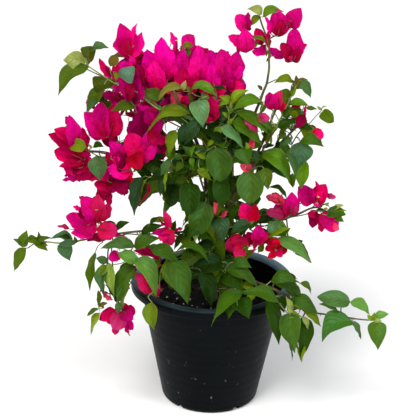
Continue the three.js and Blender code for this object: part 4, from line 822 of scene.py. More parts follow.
# ------------------------------------------------------------------ trunk and boughs
def bark_relief(seed, depth, step):
    g = np.random.default_rng(seed)
    ph = g.uniform(0, 2 * math.pi, 8)

    def relief(ang, dist):
        s = dist / step
        v = depth * (np.sin(5 * ang + ph[0] + 2.1 * np.sin(dist * 38 + ph[1])) + 0.6 * np.sin(9 * ang + ph[2] + 1.7 * np.sin(dist * 90 + ph[3])))
        v = v + 0.5 * depth * np.sin(14 * ang + ph[4] + dist * 260) * np.sin(dist * 190 + ph[5])
        knots = np.exp(-((s - np.round(s)) / 0.10) ** 2) * (0.6 + 0.4 * np.cos(ang - 2.4 * np.round(s) + ph[6]))
        return 1 + v + 1.6 * depth * knots
    return relief


def thorn(p, tan, outward, size, radius):
    d = unit(outward + 0.25 * tan)
    base = p + outward * radius * 0.6
    line = bezier(base, base + d * size * 0.4, base + d * size * 0.75 - tan * size * 0.04, base + d * size - tan * size * 0.16, 5)
    tube(LIMB_STORE, line, np.array((0.75, 0.6, 0.42, 0.24, 0.05)) * MM, 6, 1)


def limbs():
    for i, (name, points, r0, r1, inward) in enumerate(LIMBS):
        main = name in MAIN
        line = line_through(np.array(points + inward, float) * MM, 0.004)
        g = np.random.default_rng(900 + i)
        wob = 0.35 * MM if name != "trunk" else 0
        k = np.arange(len(line))
        env = np.clip(k / 6, 0, 1) * np.clip((len(line) - 1 - k) / 6, 0, 1)
        for axis in range(3):
            line[:, axis] += wob * env * (np.sin(k * 0.45 + g.uniform(0, 6)) + 0.7 * np.sin(k * 0.93 + g.uniform(0, 6)))
        t = np.linspace(0, 1, len(line))
        end = r1 if not inward else r1 * 0.8
        radius = (r0 + (end - r0) * t ** 0.9) * MM
        if name == "trunk":
            z = line[:, 2] / MM
            radius = radius + 5.6 * MM * np.exp(-np.clip(z - 155, 0, None) / 7.5)
            radius = radius + 1.8 * MM * np.exp(-((z - 214) / 13) ** 2)
        elif name not in ("stem_whip_upper", "bough_far_left"):
            radius = radius * (1 + 0.35 * np.exp(-t * len(line) * 4 / (2.2 * r0)))
        sides = 32 if name == "trunk" else 20 if main else 12
        tube(LIMB_STORE, line, radius, sides, 0 if main else 3 if name == "stem_whip_upper" else 2 if name == "bough_arching_left" else 1,
             relief=bark_relief(300 + i, 0.055 if main else 0.03, 0.024))
        wood.add(line, radius)
        tan, a, b = frames_along(line)
        for j in range(6, len(line) - 3, 6):
            if g.random() < 0.62:
                ang = g.uniform(0, 2 * math.pi)
                thorn(line[j], tan[j], math.cos(ang) * a[j] + math.sin(ang) * b[j], g.uniform(4, 8) * MM, radius[j])


limbs()


# ------------------------------------------------------------------ front blades
def px_size(p):
    return ((p - CAM_LOC) @ CAM_F) / CAM_FOCAL


def front_blade(row, y0, leaf, g):
    u0, v0, u1, v1, w, tone = row[:6]
    tone, _, form = tone.partition(".")
    dy, f, bow, k, bend = (list(row[6:]) + [None] * 5)[:5]
    y = y0 + (dy or 0)
    ratio = 0.60 if leaf else 0.82
    length = math.hypot(u1 - u0, v1 - v0)
    base = at(u0, v0, y)
    s = px_size(base)
    share = w / (ratio * length)
    if k is None:
        k = g.uniform(-5, 3)
        if share > 1.08:
            hidden = min(24.0, 0.8 * s / MM * math.sqrt((w / ratio) ** 2 - length ** 2))
            k += hidden if v1 < v0 - 2 else -hidden
    tip = at(u1, v1, y + k)
    turned = math.acos(min(1.0, max(0.36, share)))
    limit = math.acos(min(1.0, max(0.2, w / (1.16 * ratio * length))))
    want = math.radians(f if f is not None else 16)
    f = turned if share < 0.85 else min(want, limit)
    if not leaf and row[7:8] and row[7] is not None:
        f = min(f, math.radians(28))
    d = unit(tip - base)
    view = unit(CAM_LOC - base)
    n0 = unit(view - d * (view @ d))
    up = np.cross(d, n0)[2]
    sign = math.copysign(1, up) if abs(up) > 0.2 or g.random() < 0.5 + 2.4 * up else -math.copysign(1, up)
    if not leaf and g.random() < 0.25:
        sign = -sign
    normal = turn(n0, d, f * sign)
    if leaf:
        fold = g.uniform(0.12, 0.46)
        shape = dict(bow=bow if bow is not None else g.uniform(0.06, 0.15), fold=fold, cup=g.uniform(0.04, 0.26), wave=g.uniform(0.012, 0.045),
                     waves=g.uniform(1.6, 2.8), phase=tuple(g.uniform(0, 6.3, 2)), twist=g.uniform(-0.6, 0.6), lop=g.uniform(-0.08, 0.08))
        arch = (bow or 0) * math.sin(want) - shape["bow"] * math.sin(f)
        across = np.cross(d, normal)[2]
        shape["sickle"] = max(0.0, min(0.16, arch)) * (1 if across > 0 else -1) + g.uniform(-0.025, 0.025)
        if bend is not None:
            s_axis = np.cross(d, normal)
            lead = s_axis @ CAM_U if abs(s_axis @ CAM_U) > 0.25 else -(s_axis @ CAM_R)
            shape["sickle"] = math.copysign(bend, lead * bend)
        outline = form or ("heart" if w > 17 and g.random() < 0.6 else "lance" if w < 6 else "leaf")
        size = (8, 14)
    else:
        fold = g.uniform(0.02, 0.16)
        shape = dict(bow=(bow if bow is not None else g.uniform(0.05, 0.16)) * (1 if g.random() < 0.7 else -1), fold=fold, cup=g.uniform(0.06, 0.26) * (1 if g.random() < 0.6 else -1),
                     wave=g.uniform(0.035, 0.085), waves=g.uniform(1.8, 3.2), phase=tuple(g.uniform(0, 6.3, 2)), twist=g.uniform(-0.3, 0.3),
                     lop=g.uniform(-0.08, 0.08), sickle=g.uniform(-0.04, 0.04), pleat=g.uniform(0.012, 0.04) * (1 if g.random() < 0.5 else -1))
        outline = form or ("round" if w > 0.5 * length and g.random() < 0.55 else "bract")
        size = (10, 14)
    width = (0.95 if leaf else 0.98) * w * s / (math.cos(f) * math.cos(fold))
    grid, t, across_ = blade_grid(base, tip, normal, width, outline, *size, **shape)
    return dict(base=base, tip=tip, d=d, n=normal, grid=grid, uv=(t, across_), leaf=leaf, tone=tone, width=width, y=y)


def store_blade(b):
    nv, nu = b["grid"].shape[0] - 1, b["grid"].shape[1] - 1
    i, k = np.meshgrid(np.arange(nv), np.arange(nu), indexing="ij")
    r = nu + 1
    quads = np.stack((i * r + k, i * r + k + 1, (i + 1) * r + k + 1, (i + 1) * r + k), -1).reshape(-1, 4)
    t, s = b["uv"]
    store = (LEAF_STORES if b["leaf"] else BRACT_STORES)[region(b["base"])]
    slot = (LEAF_KEYS if b["leaf"] else BRACT_KEYS).index(b["tone"])
    store.add(b["grid"].reshape(-1, 3), quads, slot, np.stack((0.5 + 0.5 * s, t), -1).reshape(-1, 2))


def front_blades():
    out = []
    for leaf, table in ((True, LEAVES), (False, BRACTS)):
        for gi, (name, y0, rows) in enumerate(table):
            g = np.random.default_rng(SEED + 10 * gi + (5 if leaf else 0))
            for row in rows:
                b = front_blade(row, y0, leaf, g)
                b["group"] = name
                store_blade(b)
                out.append(b)
    return out


front = front_blades()

# ------------------------------------------------------------------ outline of the crown
# The crown's outline in the view is that of the front blades, grown by one pixel,
# together with the shade ellipses and less the gap ellipses.  The seeded crown
# behind keeps inside it, so the gaps stay open.
SHADE = [
    (209, 141, 13, 8, 20), (173, 119, 9, 3, 0), (192, 175, 6, 5, 0), (206, 191, 4, 13, -28), (232, 200, 5, 9, 0), (256, 199, 4, 8, 25), (148, 169, 5, 6, 0), (160, 149, 3, 5, 0),
    (178, 149, 4, 6, 0), (184, 157, 3, 5, 0), (263, 158, 3, 5, 0), (254, 167, 3, 6, 0), (171, 180, 5, 5, 0), (170, 172, 5, 3, 0), (256, 165, 4, 3, -30),
    (211, 235, 10, 4, 0), (188, 250, 7, 4, 0), (198, 241, 9, 3, -10), (188, 257, 10, 5, 20), (230, 259, 4, 7, 0), (222, 272, 4, 8, 30), (159, 275, 3, 6, 0), (221, 287, 4, 4, 0), (245, 286, 4, 3, 0),
    (184, 231, 2, 5, 0), (163, 216, 2, 4, 0), (97, 298, 2, 6, 0), (119, 111, 6, 2, 0), (196, 270, 5, 10, 0), (206, 255, 14, 8, 0), (245, 258, 6, 8, 0), (236, 236, 8, 6, 0), (226, 150, 20, 6, 0),
]
GAPS = [(170, 127, 6, 4, 0), (196, 183, 6, 3, 14), (99, 150, 7, 5, 0), (197, 94, 3, 3, 0), (236, 167, 2, 6, 0), (178, 220, 5, 9, 0), (272, 113, 5, 3, 0), (122, 125, 3, 5, 0), (242, 119, 5, 2, 0), (177, 143, 2, 5, 0), (230, 183, 2, 2, 0), (288, 135, 6, 3, -20), (207, 183, 1.5, 3, 0),
        (301, 94, 4, 4, 0), (307, 99, 1.5, 4, 0), (309, 113, 2.5, 6, 0), (276, 113, 3, 3, 0), (289, 115, 4, 1.5, -15), (270, 162, 3.5, 2.8, -20), (236, 165, 2.6, 7, 0), (249, 110, 6, 3, 0), (224, 104, 4, 2, 15),
        (219, 124, 1.5, 2, 0), (209, 129, 3.5, 1.5, 35), (260, 137, 2, 3.5, -30), (201, 143, 5, 2, 30), (255, 149, 4, 2, 25), (138, 98, 4, 2.2, 40), (131, 110, 4, 2, 20), (83, 124, 2.5, 8, -15), (124, 128, 3, 11, 0),
        (200, 188, 3, 2.5, 25), (191, 182, 3, 1.5, 25), (203, 197, 3, 3, 0), (185, 243, 3, 2.2, 0), (178, 234, 2.5, 1.5, -35), (156, 193, 2.7, 1.4, 0), (186, 223, 2, 2, 0), (182, 228, 2, 1.5, 0), (235, 172, 3, 2.3, 18),
        (274, 142, 3, 1.5, -45), (232, 221, 2.2, 1.7, 0), (112, 195, 5, 2.5, 0), (177, 40, 2.5, 5, 0), (102, 66, 5, 5, 0), (266, 191, 3, 4, 0), (308, 184, 6, 2, 0), (137, 175, 5, 2.4, -20), (301, 288, 6.5, 1.8, 33), (270, 162, 4, 3, -20), (312, 323, 8.5, 2.5, 57), (97, 272, 12, 2, -71), (117, 49, 5, 2, 63), (303, 209, 6, 4, -36), (319, 209, 3.6, 2, -27), (178, 144, 3, 2.3, -70), (248, 94, 4.7, 1.8, 0), (263, 210, 4, 1.6, 0), (184, 244, 3.4, 2.1, -38), (248, 111, 5, 1.8, 7), (111, 211, 2, 5, 0), (99, 107, 1.6, 4, 0), (120, 131, 3, 2, -60), (179, 205, 3.5, 1.5, 40), (87, 136, 6, 2.2, 52), (96, 141, 6, 1.5, 20)]
mask = np.zeros((416, 416), bool)
nearest_front = np.full((416, 416), np.inf)
covered = np.zeros((416, 416), bool)


def ellipse_mask(u, v, hu, hv, lean=0.0):
    yy, xx = np.mgrid[0:416, 0:416]
    a = math.radians(lean)
    dx, dy = xx - u, yy - v
    p, q = dx * math.cos(a) + dy * math.sin(a), -dx * math.sin(a) + dy * math.cos(a)
    return (p / hu) ** 2 + (q / hv) ** 2 <= 1


def outline_mask():
    for b in front:
        g = b["grid"]
        for a in np.linspace(0, 1, 5):
            rows = g[:-1] * (1 - a) + g[1:] * a
            for c in np.linspace(0, 1, 5):
                p = (rows[:, :-1] * (1 - c) + rows[:, 1:] * c).reshape(-1, 3)
                uv = np.clip(np.round(seen(p)).astype(int), 0, 415)
                mask[uv[:, 1], uv[:, 0]] = True
                np.minimum.at(nearest_front, (uv[:, 1], uv[:, 0]), (p - CAM_LOC) @ CAM_F)
    covered[:] = mask
    grown = mask.copy()
    for dx in (-1, 0, 1):
        for dy in (-1, 0, 1):
            grown |= np.roll(np.roll(mask, dx, 1), dy, 0)
    mask[:] = grown
    for e in SHADE:
        mask[:] |= ellipse_mask(*e)
    for e in GAPS:
        mask[:] &= ~ellipse_mask(*e)


outline_mask()


# Open shoots that the seeded crown keeps away from.
BARE = [(0, 224, 83, 285), (314, 280, 416, 360), (40, 36, 98, 74), (84, 240, 112, 340), (240, 0, 320, 74), (324, 176, 360, 240)]


def inside(p):
    """The share of points that show inside the crown's outline."""
    uv = np.round(seen(p.reshape(-1, 3))).astype(int)
    ok = (uv >= 0).all(1) & (uv < 416).all(1)
    for x0, y0, x1, y1 in BARE:
        ok &= ~((uv[:, 0] > x0) & (uv[:, 0] < x1) & (uv[:, 1] > y0) & (uv[:, 1] < y1))
    uv = np.clip(uv, 0, 415)
    return float((mask[uv[:, 1], uv[:, 0]] & ok).mean())


# Here only bracts show, so a seeded leaf stays hidden behind them, and here no
# seeded bract shows.
LEAFLESS = [(104, 58, 114, 74), (136, 26, 252, 80), (262, 174, 286, 194), (294, 178, 322, 190), (76, 114, 85, 130), (303, 286, 318, 300), (52, 158, 67, 180)]
BRACTLESS = [(258, 174, 272, 198), (80, 114, 94, 143), (96, 56, 112, 74), (140, 26, 154, 52), (164, 26, 182, 46), (194, 26, 250, 48), (142, 160, 162, 178), (86, 76, 106, 96), (108, 200, 116, 222)]


def tucked(p, zones):
    """The share of points that don't show in the given parts of the view."""
    p = p.reshape(-1, 3)
    uv = np.clip(np.round(seen(p)).astype(int), 0, 415)
    shows = nearest_front[uv[:, 1], uv[:, 0]] > (p - CAM_LOC) @ CAM_F
    zone = np.zeros(len(p), bool)
    for x0, y0, x1, y1 in zones:
        zone |= (uv[:, 0] > x0) & (uv[:, 0] < x1) & (uv[:, 1] > y0) & (uv[:, 1] < y1)
    return 1 - float((shows & zone).mean())


def behind(p):
    """The share of points that don't come in front of the front blades."""
    p = p.reshape(-1, 3)
    uv = np.clip(np.round(seen(p)).astype(int), 0, 415)
    near = nearest_front[uv[:, 1], uv[:, 0]]
    return float(((near == np.inf) | ((p - CAM_LOC) @ CAM_F > near + 0.002)).mean())


def cover(grid):
    for a in (0.0, 0.33, 0.67, 1.0):
        rows = grid[:-1] * (1 - a) + grid[1:] * a
        for c in (0.0, 0.33, 0.67):
            uv = np.clip(np.round(seen((rows[:, :-1] * (1 - c) + rows[:, 1:] * c).reshape(-1, 3))).astype(int), 0, 415)
            covered[uv[:, 1], uv[:, 0]] = True


# ------------------------------------------------------------------ thin stems at the front
def feeders():
    for r0, r1, pts in FEEDERS:
        twig(line_through(np.array(pts, float) * MM, 0.005), r0 * MM, r1 * MM, "brown", 8)


feeders()


def front_shoots():
    for kind, r0, r1, pts in SHOOTS:
        line = line_through(np.array([at(*p) for p in pts]), 0.005)
        i, dist = wood.nearest(line[0])
        if dist > 0.003:
            j = wood.nearest(line[0], 0.0011)[0]
            p, q = wood.p[j], line[0]
            d = unit(line[1] - line[0])
            gap = np.linalg.norm(q - p)
            n = max(4, int(gap / 0.005))
            join = bezier(p, p + 0.35 * gap * unit(wood.d[j] * 0.6 + unit(q - p)), q - 0.35 * gap * d, q, n)
            line = np.vstack((join[:-1], line))
        twig(line, r0 * MM, r1 * MM, kind, 8)


front_shoots()

# ------------------------------------------------------------------ seeded crown
LO = np.array(CAD_LO) - np.array((0.012, 0.012, 0.0))
HI = np.array(CAD_HI) + np.array((0.012, 0.012, 0.012))
POT_CLEAR = 0.198


def allowed(p):
    """Whether points keep inside the object's box and clear of the pot."""
    p = p.reshape(-1, 3)
    if (p < LO).any() or (p > HI).any():
        return False
    r = np.hypot(p[:, 0], p[:, 1])
    low = p[:, 2] < POT_CLEAR
    wall = low & (p[:, 2] > 0.150) & (r > 0.098) & (r < 0.130)
    deep = low & (p[:, 2] < 0.160) & (r < 0.124)
    under = (p[:, 2] < 0.150) & (r < 0.130)
    return not (wall.any() or deep.any() or under.any())


def pick(g, table):
    keys, share = zip(*table)
    share = np.array(share, float)
    return keys[int(g.choice(len(keys), p=share / share.sum()))]


INNER_LEAVES = (("q", 26), ("m", 22), ("d", 20), ("o", 12), ("g", 12), ("c", 5), ("y", 3))
OUTER_LEAVES = (("m", 26), ("d", 16), ("g", 15), ("b", 13), ("q", 10), ("o", 9), ("c", 8), ("y", 5), ("v", 3))
TIP_LEAVES = (("y", 30), ("g", 25), ("p", 16), ("n", 14), ("o", 15))
BLOOM_TONES = {
    "bright": (("mg", 44), ("ht", 26), ("pu", 14), ("rp", 10), ("cr", 6)),
    "deep": (("cr", 26), ("mg", 20), ("pu", 18), ("rp", 16), ("dk", 10), ("ht", 10)),
}


def add_leaf(p0, direction, length, tone, g, outward, shade=False, size=(4, 9)):
    """One seeded leaf with its base at p0. Returns whether it fits."""
    d = unit(direction)
    n = UP * 0.8 + outward * 0.45 + g.normal(0, 0.28, 3)
    n = unit(n - d * (n @ d))
    width = length * g.uniform(0.50, 0.64)
    grid, t, s = blade_grid(p0, p0 + d * length, n, width, "heart" if g.random() < 0.35 else "leaf", *size,
                            bow=g.uniform(0.06, 0.2), fold=g.uniform(0.10, 0.42), cup=g.uniform(0.04, 0.26), wave=g.uniform(0.01, 0.045),
                            waves=g.uniform(1.6, 2.8), phase=tuple(g.uniform(0, 6.3, 2)), twist=g.uniform(-0.4, 0.4), sickle=g.uniform(-0.05, 0.05), lop=g.uniform(-0.08, 0.08))
    if not allowed(grid) or inside(grid) < 0.93 or behind(grid) < 0.97 or tucked(grid, LEAFLESS) < 0.995:
        return False
    store_blade(dict(grid=grid, uv=(t, s), leaf=True, tone=tone, base=p0))
    cover(grid)
    return True


def add_bract(p0, d, face, length, tone, g):
    width = length * g.uniform(0.68, 0.84)
    grid, t, s = blade_grid(p0, p0 + d * length, face, width, "bract" if g.random() < 0.7 else "round", 6, 9,
                            bow=-g.uniform(0.04, 0.16), fold=g.uniform(0.04, 0.2), cup=-g.uniform(0.05, 0.24), wave=g.uniform(0.03, 0.08),
                            waves=g.uniform(1.8, 3.2), phase=tuple(g.uniform(0, 6.3, 2)), twist=g.uniform(-0.25, 0.25), lop=g.uniform(-0.08, 0.08), pleat=g.uniform(0.01, 0.035))
    if not allowed(grid) or inside(grid) < 0.92 or behind(grid) < 0.97 or tucked(grid, BRACTLESS) < 0.98:
        return False
    store_blade(dict(grid=grid, uv=(t, s), leaf=False, tone=tone, base=p0))
    cover(grid)
    return True


def add_tube(p0, d, length, g, star):
    """The thin true flower that stands on each bract, with its small cream star."""
    line = bezier(p0, p0 + d * length * 0.4, p0 + d * length * 0.7, p0 + d * length, 6)
    store = BRACT_STORES[region(p0)]
    tube(store, line, np.array((0.55, 0.9, 1.15, 1.05, 0.85, 0.95)) * MM, 7, BRACT_KEYS.index("tube"))
    if star:
        end = line[-1] + d * 0.0007
        a = unit(np.cross(d, UP + 0.01))
        b = np.cross(d, a)
        ang = np.arange(10) * math.pi / 5 + g.uniform(0, 1)
        r = np.where(np.arange(10) % 2 == 0, 3.1, 1.4) * MM
        rim = end + r[:, None] * (np.cos(ang)[:, None] * a + np.sin(ang)[:, None] * b) + d * 0.0006
        k = np.arange(10)
        store.add(np.vstack((rim, end)), None, BRACT_KEYS.index("star"), None, np.stack((k, (k + 1) % 10, np.full(10, 10)), 1))


def add_flower(p, axis, size, palette, g):
    """Three papery bracts round a short stalk's end, each with its thin tube."""
    axis = unit(axis)
    a = unit(np.cross(axis, UP + 0.01 * g.normal(0, 1, 3)))
    b = np.cross(axis, a)
    start, opening = g.uniform(0, 2 * math.pi), g.uniform(0.45, 0.95)
    tone = pick(g, palette)
    made = 0
    for k in range(3):
        ang = start + k * 2 * math.pi / 3 + g.uniform(-0.2, 0.2)
        radial = math.cos(ang) * a + math.sin(ang) * b
        o = opening * g.uniform(0.85, 1.15)
        d = unit(math.cos(o) * axis + math.sin(o) * radial)
        face = unit(math.sin(o) * axis - math.cos(o) * radial)
        one = tone if g.random() < 0.6 else pick(g, palette)
        if add_bract(p + radial * 0.001, d, face, size * g.uniform(0.88, 1.08), one, g):
            made += 1
            if g.random() < 0.7:
                add_tube(p + radial * 0.0012 + face * 0.001, unit(d + face * 0.14), size * g.uniform(0.42, 0.55), g, g.random() < 0.45)
    return made


def ellipsoid_point(c, half, lean, direction, share):
    v = np.array(half) * direction * share
    a = math.radians(lean)
    x, z = v[0], v[2]
    return c + np.array((x * math.cos(a) + z * math.sin(a), v[1], z * math.cos(a) - x * math.sin(a))) * MM


def sphere_directions(n, g):
    k = np.arange(n) + 0.5
    z = 1 - 2 * k / n
    a = math.pi * (1 + 5 ** 0.5) * k + g.uniform(0, 6.3)
    r = np.sqrt(1 - z * z)
    return np.stack((r * np.cos(a), r * np.sin(a), z), 1)


DENSITY = 1.8


def grow_masses():
    todo = []
    for m in MASSES:
        c = np.array(m[1], float) * MM
        todo.append((wood.nearest(c)[1], m, c))
    todo.sort(key=lambda t: t[0])
    shoots = []
    for order, (_, (name, at_mm, half, lean, count), c) in enumerate(todo):
        if not count:
            continue
        g = np.random.default_rng(SEED + 7000 + order)
        back = at_mm[1] > 45
        core = c + np.array((0, 0.0 if back else 0.35 * half[1] * MM, 0))
        i, dist = wood.nearest(core, 0.0014)
        p = wood.p[i]
        gap = np.linalg.norm(core - p)
        r0 = min(wood.r[i] * 0.75, 2.0 * MM)
        if gap > 0.006:
            n = max(5, int(gap / 0.005))
            line = bezier(p, p + gap * 0.35 * unit(wood.d[i] + 0.4 * UP), core - gap * 0.3 * unit(core - p + UP * 0.02), core, n)
            twig(line, r0, 1.1 * MM, "brown", 8)
        for k, u in enumerate(sphere_directions(int(count * DENSITY), g)):
            end = ellipsoid_point(c, half, lean, u, g.uniform(0.72, 0.95))
            j, d0 = wood.nearest(c + (end - c) * g.uniform(0.05, 0.35), 0.00085)
            s = wood.p[j]
            gap = np.linalg.norm(end - s)
            if gap < 0.012:
                continue
            n = max(6, int(gap / 0.004))
            away = unit(end - s)
            line = bezier(s, s + gap * 0.35 * unit(wood.d[j] * 0.5 + away), end - gap * 0.3 * unit(away - 0.35 * UP) , end, n)
            ok = [inside(q[None]) > 0.5 and allowed(q[None]) and behind(q[None]) > 0.5 for q in line]
            stop = next((x for x, o in enumerate(ok) if not o and x > 1), len(line))
            if stop < 5:
                continue
            line = line[:stop]
            r = min(wood.r[j] * 0.85, 1.2 * MM)
            twig(line, r, 0.5 * MM, "green" if g.random() < 0.6 else "brown", 6)
            shoots.append((name, line, c, np.array(half) * MM, back, g))
    return shoots


def leaf_out(shoots):
    """Leaves, and flowers on the blooming masses, along each seeded shoot."""
    for name, line, c, half, back, g in shoots:
        bloom = name.startswith("bloom")
        palette = BLOOM_TONES["bright" if "top" in name or "whip" in name else "deep"]
        seg = np.concatenate(((0,), np.cumsum(np.linalg.norm(np.diff(line, axis=0), axis=1))))
        tan, a, b = frames_along(line)
        spiral = g.uniform(0, 6.3)
        s = g.uniform(0.003, 0.008)
        k = 0
        while s < seg[-1] + 0.001:
            i = min(len(line) - 1, int(np.searchsorted(seg, s)))
            p = line[i]
            rel = np.linalg.norm((p - c) / half)
            outward = unit(p - c + 1e-6)
            ang = spiral + 2.4 * k
            radial = math.cos(ang) * a[i] + math.sin(ang) * b[i]
            last = s > seg[-1] - 0.010
            grade = g.uniform(0.9, 1.1) * (0.72 if last else 1.0)
            for attempt in range(4):
                d = unit(0.55 * tan[i] + 0.8 * radial + 0.25 * outward + UP * g.uniform(-0.35, 0.2))
                if bloom and (rel > 0.35) and g.random() < (0.85 if back else 0.7):
                    stalk = g.uniform(0.006, 0.014)
                    q = p + d * stalk
                    axis = unit(d + 0.7 * outward + 0.25 * UP)
                    if add_flower(q, axis, g.uniform(0.030, 0.040) * grade ** 0.5, palette, g):
                        twig(bezier(p, p + d * stalk * 0.4, q - axis * stalk * 0.3, q, 4), 0.5 * MM, 0.45 * MM, "green", 5, False)
                        break
                else:
                    length = g.uniform(0.032, 0.047) * grade
                    stalk = g.uniform(0.004, 0.008)
                    q = p + d * stalk
                    dd = unit(d + UP * g.uniform(-0.5, 0.05))
                    tone = pick(g, TIP_LEAVES if last and g.random() < 0.5 else OUTER_LEAVES if rel > 0.6 and back else INNER_LEAVES)
                    if add_leaf(q, dd, length, tone, g, outward):
                        twig(bezier(p, p + d * stalk * 0.5, q - dd * stalk * 0.2, q + dd * 0.001, 4), 0.55 * MM, 0.45 * MM, "green", 5, False)
                        break
                radial = turn(radial, tan[i], g.uniform(0.8, 2.2))
            k += 1
            s += g.uniform(0.0075, 0.0115)


def attach_front():
    """Petioles, stalks and small twigs from the wood to every front blade."""
    base = np.array([b["base"] for b in front])
    lead = np.array([b["d"] for b in front])
    best = np.full(len(front), 9.0)
    who = np.zeros(len(front), int)
    done = np.zeros(len(front), bool)
    fresh = 0
    g = np.random.default_rng(SEED + 31)
    while not done.all():
        new = np.arange(fresh, wood.n)
        fresh = wood.n
        left = np.flatnonzero(~done)
        if len(new):
            for lo in range(0, len(new), 4000):
                part = new[lo:lo + 4000]
                dist = np.linalg.norm(base[left][:, None] - 0.002 * lead[left][:, None] - wood.p[part][None], axis=2)
                j = dist.argmin(1)
                v = dist[np.arange(len(left)), j]
                better = v < best[left]
                best[left[better]] = v[better]
                who[left[better]] = part[j[better]]
        h = left[best[left].argmin()]
        b, j, gap = front[h], who[h], best[h]
        done[h] = True
        p, q, d = wood.p[j], b["base"] + b["d"] * 0.0012, b["d"]
        gap = np.linalg.norm(q - p)
        if gap < 0.0008:
            continue
        away = unit(q - p)
        long = gap > 0.016
        n = max(4, int(gap / 0.004))
        c1 = p + gap * 0.35 * unit(away + 0.5 * wood.d[j])
        c2 = q - gap * min(0.4, 0.006 / gap + 0.15) * d
        line = bezier(p, c1, c2, q, n)
        if long:
            twig(line, min(wood.r[j] * 0.9, 1.0 * MM), 0.55 * MM, "green" if g.random() < 0.5 else "brown", 6)
        else:
            twig(line, 0.6 * MM, 0.5 * MM, "green", 6, not b["leaf"])
        if not b["leaf"] and b["width"] > 0.010 and g.random() < 0.24:
            add_tube(q + b["n"] * 0.0012, unit(d + 0.22 * b["n"]), np.linalg.norm(b["tip"] - b["base"]) * g.uniform(0.4, 0.52), g, g.random() < 0.2)


def infill():
    """Leaves in the small openings that are left inside the crown's outline."""
    g = np.random.default_rng(SEED + 77)
    for attempt in range(900):
        hole = mask & ~covered
        inner = hole.copy()
        for dx, dy in ((1, 0), (-1, 0), (0, 1), (0, -1)):
            inner &= np.roll(np.roll(hole, dx, 1), dy, 0)
        rows, cols = np.nonzero(inner)
        if not len(rows):
            break
        i = int(g.integers(len(rows)))
        u, v = cols[i], rows[i]
        box = nearest_front[max(0, v - 14):v + 15, max(0, u - 14):u + 15]
        near = box[np.isfinite(box)]
        if not len(near):
            mask[v, u] = False
            continue
        view = unit(at(u, v, 0) - CAM_LOC)
        p = CAM_LOC + view * (np.percentile(near, 60) + g.uniform(0.002, 0.045)) / (view @ CAM_F)
        ang = g.uniform(-2.3, 2.3)
        d = unit(-CAM_U * math.cos(ang) + CAM_R * math.sin(ang) + CAM_F * g.uniform(-0.4, 0.5))
        length = g.uniform(0.020, 0.038)
        base = p - d * length * g.uniform(0.35, 0.6)
        j, gap = wood.nearest(base)
        if gap > 0.05:
            continue
        if add_leaf(base, d, length, pick(g, INNER_LEAVES), g, -CAM_F):
            q = base + d * 0.001
            s = wood.p[j]
            gap = np.linalg.norm(q - s)
            if gap > 0.001:
                line = bezier(s, s + gap * 0.35 * unit(q - s + 0.4 * gap * wood.d[j]), q - d * gap * 0.25, q, max(4, int(gap / 0.004)))
                twig(line, 0.55 * MM, 0.45 * MM, "green", 5)


shoots = grow_masses()
attach_front()
leaf_out(shoots)
infill()

# ------------------------------------------------------------------ pot
POT_SEG = 192


def pot_wall(z):
    return 75.5 + 34.5 * (z - 6) / 175


def pot_object():
    outer = [(0, 4), (40, 4), (66, 4), (66, 0.8), (67.4, 0), (70.6, 0), (72.6, 0.7), (74.2, 2.4), (75.3, 4.8), (76.0, 8.0)]
    z = 9.5
    while z < 180.2:
        ring = 0.05 * math.sin(2 * math.pi * z / 4.6) + 0.07 * math.sin(2 * math.pi * z / 14.5 + 0.6)
        outer.append((pot_wall(z) + ring * min(1, (180.5 - z) / 6), z))
        z += 1.15
    lip = [(110.0, 181.4), (110.2, 187.6), (110.9, 188.9), (112.2, 189.2), (121.4, 189.2), (122.3, 188.7), (122.6, 187.6), (122.6, 182.2), (122.9, 181.4), (123.8, 181.0),
           (124.6, 181.3), (125.0, 182.2), (125.0, 189.4), (124.8, 191.0), (124.2, 192.3), (123.2, 193.3), (121.8, 193.9), (120.0, 194.0), (116.0, 194.0),
           (113.6, 193.9), (111.8, 193.4), (110.2, 192.3), (109.0, 190.8), (108.3, 189.0), (107.9, 186.4), (107.7, 181.0)]
    inner = [(pot_wall(z) - 2.3, z) for z in np.linspace(176, 9, 40)] + [(pot_wall(8) - 3.4, 5.6), (pot_wall(8) - 6.2, 4.6)]
    # The wall is closed: its foot, outside, lip and inside make one ring.
    ring = [(66.0, 3.4), (66.0, 0.9)] + outer[4:] + lip + inner
    prof = np.array(ring) * MM
    store = Store()
    n = len(prof)
    ang = np.arange(POT_SEG) * 2 * math.pi / POT_SEG
    v = np.stack((prof[:, 0][:, None] * np.cos(ang), prof[:, 0][:, None] * np.sin(ang), prof[:, 1][:, None] * np.ones(POT_SEG)), -1).reshape(-1, 3)
    # The soft lip stands a little high at one side.
    away = np.arctan2(v[:, 1], v[:, 0]) - math.radians(52)
    v[:, 2] += 0.0042 * np.clip((v[:, 2] - 0.14) / 0.04, 0, 1) * np.clip(np.cos(away), 0, 1) ** 1.6
    i, k = np.meshgrid(np.arange(n - 1), np.arange(POT_SEG), indexing="ij")
    k2 = (k + 1) % POT_SEG
    quads = np.stack((i * POT_SEG + k, i * POT_SEG + k2, (i + 1) * POT_SEG + k2, (i + 1) * POT_SEG + k), -1).reshape(-1, 4)
    kk = np.arange(POT_SEG)
    c0, c1 = n * POT_SEG, n * POT_SEG + 1
    v = np.vstack((v, (0, 0, 0.0034), (0, 0, 0.0046)))
    last = (n - 1) * POT_SEG
    tris = np.vstack((np.stack((np.full(POT_SEG, c0), (kk + 1) % POT_SEG, kk), 1), np.stack((np.full(POT_SEG, c1), last + kk, last + (kk + 1) % POT_SEG), 1)))
    store.add(v, quads, 0, None, tris)
    return store.build("pot_shell", [pot_material()])


